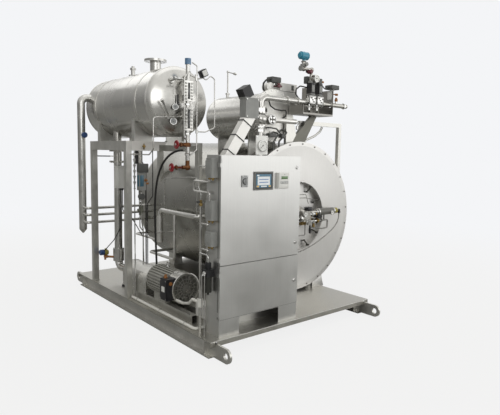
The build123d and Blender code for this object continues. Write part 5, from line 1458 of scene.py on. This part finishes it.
def dress_station():
    """Valve-train covers, gauges, actuators, cocks, sensing lines, sheets and hoses."""
    collars, knobs, lids, slots = [], [], [], []
    for x in (0.652, 0.770):
        for side in (-1, 1):
            foot = (x + side * 0.030 - 0.008, TRAIN_Y, 2.220)
            collars.append(
                turned(foot, RIGHT, [(0, 30), (0, 50), (4, 53), (12, 53), (16, 50), (16, 30)], 32)
            )
        middle = x - 0.023
        knobs.append(block((middle - 0.049, -0.914, 2.198), (middle + 0.049, -0.864, 2.290), 10))
        knobs.append(
            turned(
                (middle - 0.038, -0.890, 2.132),
                UP,
                [(0, 0), (0, 8), (5, 13), (30, 13), (42, 8), (70, 8)],
                20,
            )
        )
        for shift, rise in ((-0.026, 2.262), (-0.009, 2.243), (0.009, 2.224), (0.028, 2.258)):
            low, high = Vector((middle + shift, -0.9155, rise)), Vector((middle + shift, -0.9125, rise))
            slots.append(block(low - Vector((0.013, 0, 0.007)), high + Vector((0.013, 0, 0.007)), 1))
        lids.append(block((x - 0.028, -0.889, 2.300), (x + 0.028, -0.811, 2.312), 2))
        lids.append(block((x - 0.020, -0.889, 2.330), (x + 0.020, -0.884, 2.400), 2))
    piece("train_collars", collars, CHROME)
    piece("train_knobs", knobs, CHROME)
    piece("train_slots", slots, DARK_STEEL)
    piece("train_head_bands", lids, CAST_GREY)
    dial("train_gauge", (0.676, -0.893, 2.468), FRONT, 40)
    red = [
        turned((0.640, TRAIN_Y, 2.536), LEFT, [(-20, 14), (0, 22), (34, 22), (44, 14), (60, 14)], 20),
        turned(
            (0.612, -0.872, 2.536), FRONT, [(-10, 10), (12, 10), (12, 22), (22, 22), (24, 18), (24, 0)], 20
        ),
    ]
    piece("train_relief_valve", red, RELIEF_RED)
    grey = [
        hexagon((0.533, TRAIN_Y, 2.582), UP, 62, 26),
        turned((0.533, TRAIN_Y, 2.560), LEFT, [(0, 22), (30, 22), (34, 28), (48, 28), (48, 0)], 22),
        turned((0.533, -0.868, 2.600), FRONT, [(0, 14), (22, 14), (22, 20), (34, 20), (34, 0)], 18),
        hexagon((0.533, TRAIN_Y, 2.624), UP, 48, 14),
        hexagon((0.652, TRAIN_Y, 2.424), UP, 56, 24),
    ]
    piece("train_fittings", grey, CAST_GREY)
    cap = [
        turned((0.488, TRAIN_Y, 2.690), LEFT, [(-4, 36), (4, 36), (8, 28), (20, 26), (22, 0)], 28),
        turned((0.533, TRAIN_Y, 2.726), UP, [(-2, 12), (4, 12), (6, 0)], 16),
        turned((0.578, TRAIN_Y, 2.690), RIGHT, [(-4, 41), (3, 41), (7, 37), (7, 0)], 28),
    ]
    piece("transmitter_caps", cap, TEAL)
    cases = [
        block((0.925, -0.905, 2.384), (1.050, -0.800, 2.432), 8),
        block((0.320, -0.605, 2.424), (0.452, -0.510, 2.486), 8),
        block((0.630, -0.812, 2.424), (0.690, -0.760, 2.500), 6),
        block((0.742, -0.878, 2.424), (0.800, -0.822, 2.482), 6),
    ]
    piece("station_actuators", cases, DARK_GREY)
    columns = [
        turned(
            (0.990, TRAIN_Y, 2.240), UP, [(0, 18), (16, 18), (16, 13), (136, 13), (136, 22), (146, 22)], 20
        ),
        turned((1.065, TRAIN_Y, 2.240), UP, [(0, 13), (24, 13)], 16),
        turned((0.385, -0.560, 2.400), UP, [(0, 16), (30, 16)], 18),
        hexagon((1.180, TRAIN_Y, 2.220), RIGHT, 58, 22),
        turned((1.234, TRAIN_Y, 2.220), RIGHT, [(-6, 24), (0, 24), (10, 20), (14, 10), (14, 0)], 28),
    ]
    piece("station_columns", columns, CHROME)
    brass = [
        turned((1.065, TRAIN_Y, 2.262), UP, [(0, 12), (6, 18), (26, 18), (32, 12), (44, 12), (44, 0)], 18),
        turned((1.050, TRAIN_Y, 2.340), RIGHT, [(-46, 7), (0, 7), (4, 13), (30, 13), (34, 0)], 16),
        turned((0.800, TRAIN_Y, 2.453), RIGHT, [(0, 8), (6, 13), (44, 11), (48, 0)], 16),
    ]
    piece("station_cocks", brass, ORANGE_BRASS)
    vent = [
        turned((0.380, -0.632, 2.386), FRONT, [(-60, 8), (14, 8), (14, 20), (26, 20), (28, 0)], 18),
        turned((0.380, -0.640, 2.386), RIGHT, [(-26, 9), (0, 12), (26, 9), (44, 9), (46, 0)], 16),
        turned((0.380, -0.640, 2.386), UP, [(0, 12), (18, 12), (18, 18), (28, 18), (28, 0)], 16),
    ]
    piece("economiser_vent_cock", vent, RELIEF_RED)
    lines = [
        bent_pipe(
            [
                (0.220, -0.754, 1.706), (0.220, -0.754, 1.790), (0.300, -0.745, 1.880),
                (0.300, -0.664, 1.900),
            ],
            9,
            24,
        ),
        bent_pipe(
            [
                (0.300, -0.754, 1.742), (0.300, -0.754, 1.800), (0.420, -0.745, 1.900),
                (0.420, -0.664, 1.930),
            ],
            10,
            24,
        ),
        bent_pipe(
            [
                (0.380, -0.754, 1.770), (0.380, -0.754, 1.830), (0.280, -0.735, 1.930),
                (0.190, -0.735, 1.940), (0.190, -0.664, 1.940),
            ],
            8,
            24,
        ),
        block((0.150, -0.775, 1.842), (0.250, -0.715, 1.882), 6),
        block((0.320, -0.776, 1.838), (0.366, -0.714, 1.880), 6),
    ]
    piece("drum_sensing_lines", lines, DARK_GREY)
    lamp = block((0.577, -0.6335, 2.360), (0.612, -0.6315, 2.412), 0.6)
    seam = block((0.408, -0.6335, 2.338), (0.659, -0.6315, 2.343), 0.6)
    piece("casing_window", [lamp, seam], DARK_GREY)
    sheet = block((0.5135, -0.674, 2.0965), (0.9675, -0.671, 2.232), 0.8, 1)
    piece("tray_back_sheet", [sheet], SHEET_STEEL)
    strip = block((0.958, -0.868, 2.278), (0.970, -0.814, 2.372), 2)
    piece("station_terminal_strip", [strip], WHITE_ENAMEL)
    hoses = [
        bent_pipe(
            [
                (0.063, -0.846, 2.197), (0.119, -0.810, 2.149), (0.183, -0.810, 2.120),
                (0.277, -0.810, 2.113), (0.343, -0.810, 2.124), (0.345, -0.800, 2.063),
                (0.345, -0.700, 2.020),
            ],
            7,
            26,
        ),
        bent_pipe(
            [
                (0.483, TRAIN_Y, 2.244), (0.478, -0.800, 2.300), (0.485, -0.800, 2.350),
                (0.540, -0.800, 2.388), (0.626, -0.815, 2.380),
            ],
            7,
            26,
        ),
        bent_pipe(
            [
                (0.235, -0.600, 2.320), (0.200, -0.600, 2.340), (0.200, -0.600, 2.400),
                (0.240, -0.600, 2.440), (0.322, -0.570, 2.452),
            ],
            9,
            26,
        ),
        bent_pipe([(0.796, TRAIN_Y, 2.440), (0.860, -0.860, 2.380), (0.926, -0.860, 2.408)], 6, 26),
    ]
    piece("station_hoses", hoses, RUBBER)
    flue = bent_pipe(
        [
            (1.090, -0.630, 1.990), (1.075, -0.615, 1.940), (1.000, -0.600, 1.885), (0.860, -0.600, 1.835),
            (0.800, -0.600, 1.770),
        ],
        14,
        60,
    )
    piece("drum_vent_pipe", [flue], PIPE_STEEL)


def dress_pump():
    """Terminal-box fittings, fan-cover and hood bands, lifting eye, and a black disc of painted shade in
    the coupling's gap.
    """
    low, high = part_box("motor_terminal_box")
    lid = block(
        (low.x - 0.006, low.y + 0.004, low.z + 0.004), (low.x + 0.001, high.y - 0.004, high.z - 0.004), 2
    )
    piece("terminal_box_lid", [lid], BLACK_PLASTIC)
    screws = []
    for y in (low.y + 0.014, high.y - 0.014):
        for z in (low.z + 0.014, high.z - 0.014):
            screws.append(turned((low.x - 0.006, y, z), LEFT, SCREW_HEAD, 12))
    piece("terminal_box_screws", screws, CHROME)
    gland = [
        hexagon((low.x + 0.040, high.y - 0.030, high.z), UP, 34, 10),
        turned(
            (low.x + 0.040, high.y - 0.030, high.z + 0.010), UP, [(0, 14), (18, 13), (22, 9), (22, 0)], 18
        ),
        hexagon((low.x + 0.040, low.y, high.z - 0.040), FRONT, 32, 10),
    ]
    piece("terminal_box_gland", gland, ORANGE_BRASS)
    label = block(
        (low.x - 0.0072, low.y + 0.030, low.z + 0.080),
        (low.x - 0.005, high.y - 0.034, high.z - 0.070),
        0.4,
        1,
    )
    piece("terminal_box_plate", [label], PALE_PLASTIC)
    band = [
        turned((PUMP_X, -0.576, MOTOR_Z), FRONT, [(0, 149), (0, 153), (34, 153), (34, 149)], 64),
        turned((PUMP_X, -0.690, MOTOR_Z), FRONT, [(-8, 148), (-4, 152), (0, 151), (3, 146), (3, 140)], 64),
    ]
    piece("fan_cover_bands", band, SHEET_STEEL)
    low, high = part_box("pump_motor")
    middle = (low + high) / 2
    lift = Vector((PUMP_X, middle.y, high.z))
    ring = [
        lift + Vector((0.022 * math.sin(angle), 0, 0.030 - 0.022 * math.cos(angle)))
        for angle in around(8)
    ]
    eye = [
        turned(lift + Vector((0, 0, -0.006)), UP, [(0, 16), (8, 16), (10, 8), (16, 8)], 16),
        bent_pipe(ring + [ring[0]], 5, 4, 8),
    ]
    piece("motor_eye", eye, CHROME)
    # A black disc fills the gap between motor and hood: painted shade in the gap
    gap = turned((PUMP_X, -0.152, MOTOR_Z), FRONT, [(0, 0), (0, 118), (26, 118), (26, 0)], 40)
    piece("coupling_gap_shade_disc", [gap], RUBBER)
    low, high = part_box("pump_hood")
    screws = []
    for y in (low.y + 0.02, (low.y + high.y) / 2, high.y - 0.02):
        for z in (low.z + 0.025, high.z - 0.14):
            screws += bolt((low.x, y, z), LEFT, 6)
    piece("hood_bolts", screws, CHROME)
    seams = []
    for y in (low.y + 0.004, high.y - 0.020):
        seams.append(turned((PUMP_X, y, 0.345), BACK, [(0, 134), (0, 138), (16, 138), (16, 134)], 64))
    piece("hood_bands", seams, SHEET_STEEL)


def dress_frame():
    """Flange bolts, the junction box, instruments, valves, pipes and cables on the tank frame."""
    bolts = []
    for z, way in ((1.540, DOWN), (1.680, UP)):
        for angle in around(8, 0.5):
            bolts += bolt((-0.790 + 0.072 * math.cos(angle), 0.780 + 0.072 * math.sin(angle), z), way, 8)
    piece("outlet_flange_bolts", bolts, CHROME)
    lid = block((-0.8655, 0.618, 1.262), (-0.860, 0.716, 1.496), 2)
    piece("junction_box_lid", [lid], BOX_PLASTIC)
    screws = []
    for y in (0.628, 0.706):
        for z in (1.272, 1.486):
            screws.append(turned((-0.8652, y, z), LEFT, SCREW_HEAD, 12))
    piece("junction_box_screws", screws, CHROME)
    glands = []
    for y in (0.642, 0.692):
        glands.append(hexagon((-0.798, y, 1.254), DOWN, 28, 8))
        glands.append(turned((-0.798, y, 1.246), DOWN, [(0, 12), (14, 11), (18, 8), (18, 0)], 16))
    piece("junction_box_glands", glands, BLACK_PLASTIC)
    leads = [
        bent_pipe(
            [
                (-0.798, 0.642, 1.230), (-0.798, 0.642, 1.000), (-0.700, 0.600, 0.900),
                (-0.620, 0.500, 0.700), (-0.620, 0.460, 0.148),
            ],
            5,
            40,
        ),
        bent_pipe(
            [
                (-0.798, 0.692, 1.230), (-0.798, 0.692, 0.800), (-0.860, 0.760, 0.640),
                (-0.940, 0.860, 0.500),
            ],
            5,
            40,
        ),
    ]
    piece("junction_box_leads", leads, RUBBER)
    stems = [
        turned((-1.053, 1.138, 1.846), FRONT, [(-6, 10), (10, 10), (10, 15), (26, 15)], 16),
        turned((-0.850, 0.800, 0.440), (-0.5, 0.6, 0.0), [(-10, 13), (70, 13), (70, 18), (90, 18)], 16),
        turned((-0.912, 0.880, 0.400), UP, [(0, 12), (30, 12), (30, 17), (60, 17)], 16),
    ]
    piece("gauge_stems", stems, ORANGE_BRASS)
    bodies = [
        turned((-1.053, 1.112, 1.846), FRONT, [(0, 26), (6, 33), (34, 33), (40, 26), (40, 0)], 28),
        turned((-0.930, 0.880, 0.490), LEFT, [(-10, 26), (0, 34), (40, 34), (48, 26), (48, 0)], 28),
    ]
    piece("blue_instruments", bodies, INSTRUMENT_BLUE)
    caps = [
        turned((-0.905, 0.880, 0.486), RIGHT, [(-20, 30), (0, 32), (26, 30), (32, 20), (32, 0)], 24),
        turned((-0.905, 0.880, 0.515), UP, [(-6, 14), (14, 14), (18, 10), (18, 0)], 18),
    ]
    piece("strainer_switch_cap", caps, YELLOW_GREEN)
    display = block((-0.9005, 0.040, 1.312), (-0.897, 0.082, 1.428), 1.4)
    front_display = block((-0.892, 0.0295, 1.312), (-0.850, 0.034, 1.428), 1.4)
    piece("hanger_display", [display, front_display], DISPLAY_BLUE)
    glands = [
        hexagon((-0.830, 0.032, 1.376), FRONT, 30, 10),
        turned((-0.830, 0.022, 1.376), FRONT, [(0, 12), (18, 11), (22, 8), (22, 0)], 16),
        hexagon((-0.824, 0.060, 1.340), RIGHT, 28, 12),
        turned((-0.812, 0.060, 1.340), RIGHT, [(0, 11), (30, 10), (34, 0)], 16),
    ]
    piece("hanger_glands", glands, ORANGE_BRASS)
    case = [
        block((-0.905, 0.020, 1.452), (-0.800, 0.086, 1.545), 6),
        turned((-0.861, 0.086, 1.206), FRONT, [(0, 30), (20, 32), (44, 32), (50, 26), (50, 0)], 26),
    ]
    piece("hanger_cases", case, DARK_GREY)
    cluster = [
        turned(
            (-0.861, 0.060, 1.090),
            DOWN,
            [(-20, 12), (10, 12), (10, 18), (34, 18), (34, 12), (60, 12), (60, 0)],
            16,
        ),
        turned((-0.861, 0.060, 1.066), LEFT, [(0, 10), (30, 10), (30, 16), (44, 16), (46, 0)], 16),
    ]
    valve_body = [(-26, 11), (10, 11), (10, 18), (36, 18), (36, 11), (70, 11), (70, 0)]
    valve_stem = [(0, 9), (22, 9), (22, 16), (34, 16), (36, 0)]
    for x, z in ((-0.790, 1.060), (-0.705, 0.990)):
        cluster.append(turned((x, 0.240, z), DOWN, valve_body, 16))
        cluster.append(turned((x, 0.222, z - 0.024), FRONT, valve_stem, 16))
    piece("hanger_valves", cluster, VALVE_GREEN)
    runs = [
        bent_pipe(
            [
                (-0.861, 0.095, 1.300), (-0.861, 0.060, 1.240), (-0.861, 0.060, 0.940),
                (-0.830, 0.090, 0.860), (-0.830, 0.090, 0.478),
            ],
            6,
            24,
        ),
        bent_pipe(
            [
                (-0.861, 0.060, 1.150), (-0.790, 0.240, 1.140), (-0.790, 0.240, 0.860),
                (-0.720, 0.300, 0.800), (-0.720, 0.300, 0.452),
            ],
            6,
            24,
        ),
        bent_pipe(
            [
                (-0.790, 0.240, 1.100), (-0.705, 0.240, 1.080), (-0.705, 0.240, 0.820),
                (-0.560, 0.330, 0.760), (-0.330, 0.330, 0.760), (-0.330, 0.300, 0.760),
            ],
            6,
            24,
        ),
        bent_pipe(
            [
                (-0.330, 0.520, 0.995), (-0.330, 0.520, 1.360), (-0.330, -0.042, 1.400),
                (-0.330, -0.170, 1.400), (-0.330, -0.173, 0.990),
            ],
            7,
            40,
        ),
    ]
    piece("hanger_pipes", runs, PIPE_STEEL)
    chain = [(0, 12), (10, 12), (10, 7)]
    for step in range(6):
        rise = 40 + step * 58
        chain += [
            (rise, 7), (rise + 2, 15), (rise + 14, 15), (rise + 16, 10), (rise + 30, 10), (rise + 32, 7)
        ]
    chain += [(400, 7), (400, 11), (410, 11), (410, 6)]
    riser = [
        turned((-0.914, 0.110, 1.692), DOWN, chain, 18),
        bent_pipe(
            [
                (-0.914, 0.110, 1.290), (-0.914, 0.110, 0.700), (-0.938, 0.060, 0.620),
                (-0.938, 0.060, DECK_TOP),
            ],
            6,
            30,
        ),
    ]
    piece("beam_riser", riser, CHROME)
    lines = [
        bent_pipe(
            [
                (-0.826, 0.120, 1.700), (-0.826, 0.120, 1.560), (-0.780, 0.120, 1.500),
                (-0.780, 0.120, 0.470),
            ],
            7,
            30,
        ),
        bent_pipe([(-0.884, 0.118, 1.700), (-0.884, 0.118, 1.540)], 17, 5, 16),
        bent_pipe(
            [
                (-0.700, 0.120, 1.700), (-0.700, 0.120, 1.200), (-0.740, 0.160, 1.120),
                (-0.740, 0.160, 0.470),
            ],
            5,
            30,
        ),
    ]
    piece("beam_cables", lines, RUBBER)
    cock = [
        turned((-0.827, 0.092, 1.722), FRONT, [(0, 9), (20, 9), (20, 14), (34, 14), (36, 0)], 16),
        turned((-0.827, 0.068, 1.690), UP, [(0, 0), (0, 5), (4, 8), (40, 7), (62, 4), (62, 0)], 14),
    ]
    piece("beam_cock", cock, BRASS)


dress_cabinet()
dress_cabinet_side()
dress_deck()
dress_front_plate()
dress_burner()
dress_tank()
dress_level_gauge()
dress_economiser()
dress_gas_line()
dress_duct()
dress_station()
dress_pump()
dress_frame()

bpy.context.scene.view_settings.view_transform = "Standard"
place_camera()
light_studio()
lay_floor()

# The burner cable and the drain hose hang between two glands, on the same routes as their solids
CABLE_ROUTE = (
    (1.187, -0.850, 1.002),
    (1.187, -0.850, 0.930),
    (1.128, -0.850, 0.850),
    (1.010, -0.850, 0.778),
    (0.880, -0.850, 0.716),
    (0.740, -0.850, 0.660),
    (0.600, -0.850, 0.624),
    (0.460, -0.868, 0.612),
    (0.325, -0.905, 0.622),
    (0.195, -0.960, 0.646),
    (0.050, -1.010, 0.668),
    (-0.060, -1.070, 0.676),
    (-0.060, -1.160, 0.676),
)
HOSE_ROUTE = (
    (-0.629, -0.390, 1.690),
    (-0.629, -0.330, 1.690),
    (-0.636, -0.220, 1.675),
    (-0.646, -0.090, 1.620),
    (-0.656, 0.030, 1.510),
    (-0.662, 0.110, 1.340),
    (-0.660, 0.150, 1.110),
    (-0.650, 0.160, 0.870),
    (-0.640, 0.160, 0.630),
    (-0.632, 0.158, 0.410),
    (-0.628, 0.157, 0.285),
    (-0.628, 0.157, 0.191),
)


def hang_cord(name, route, radius, node, jacket):
    """A free cord along its route, in place of its plain solid."""
    line = bpy.data.curves.new(name, "CURVE")
    line.dimensions = "3D"
    line.bevel_depth = radius
    line.bevel_resolution = 5
    line.resolution_u = 10
    spline = line.splines.new("NURBS")
    spline.points.add(len(route) - 1)
    for point, place in zip(spline.points, route):
        point.co = (*place, 1.0)
    spline.order_u = 3
    spline.use_endpoint_u = True
    line.materials.append(jacket)
    cord = bpy.data.objects.new(name, line)
    bpy.context.scene.collection.objects.link(cord)
    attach(cord, "plant")
    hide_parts(node)


hang_cord("burner_cable_jacket", CABLE_ROUTE, 0.006, "burner_cable", BRAID)
hang_cord("drain_hose_jacket", HOSE_ROUTE, 0.011, "drain_hose", RUBBER)
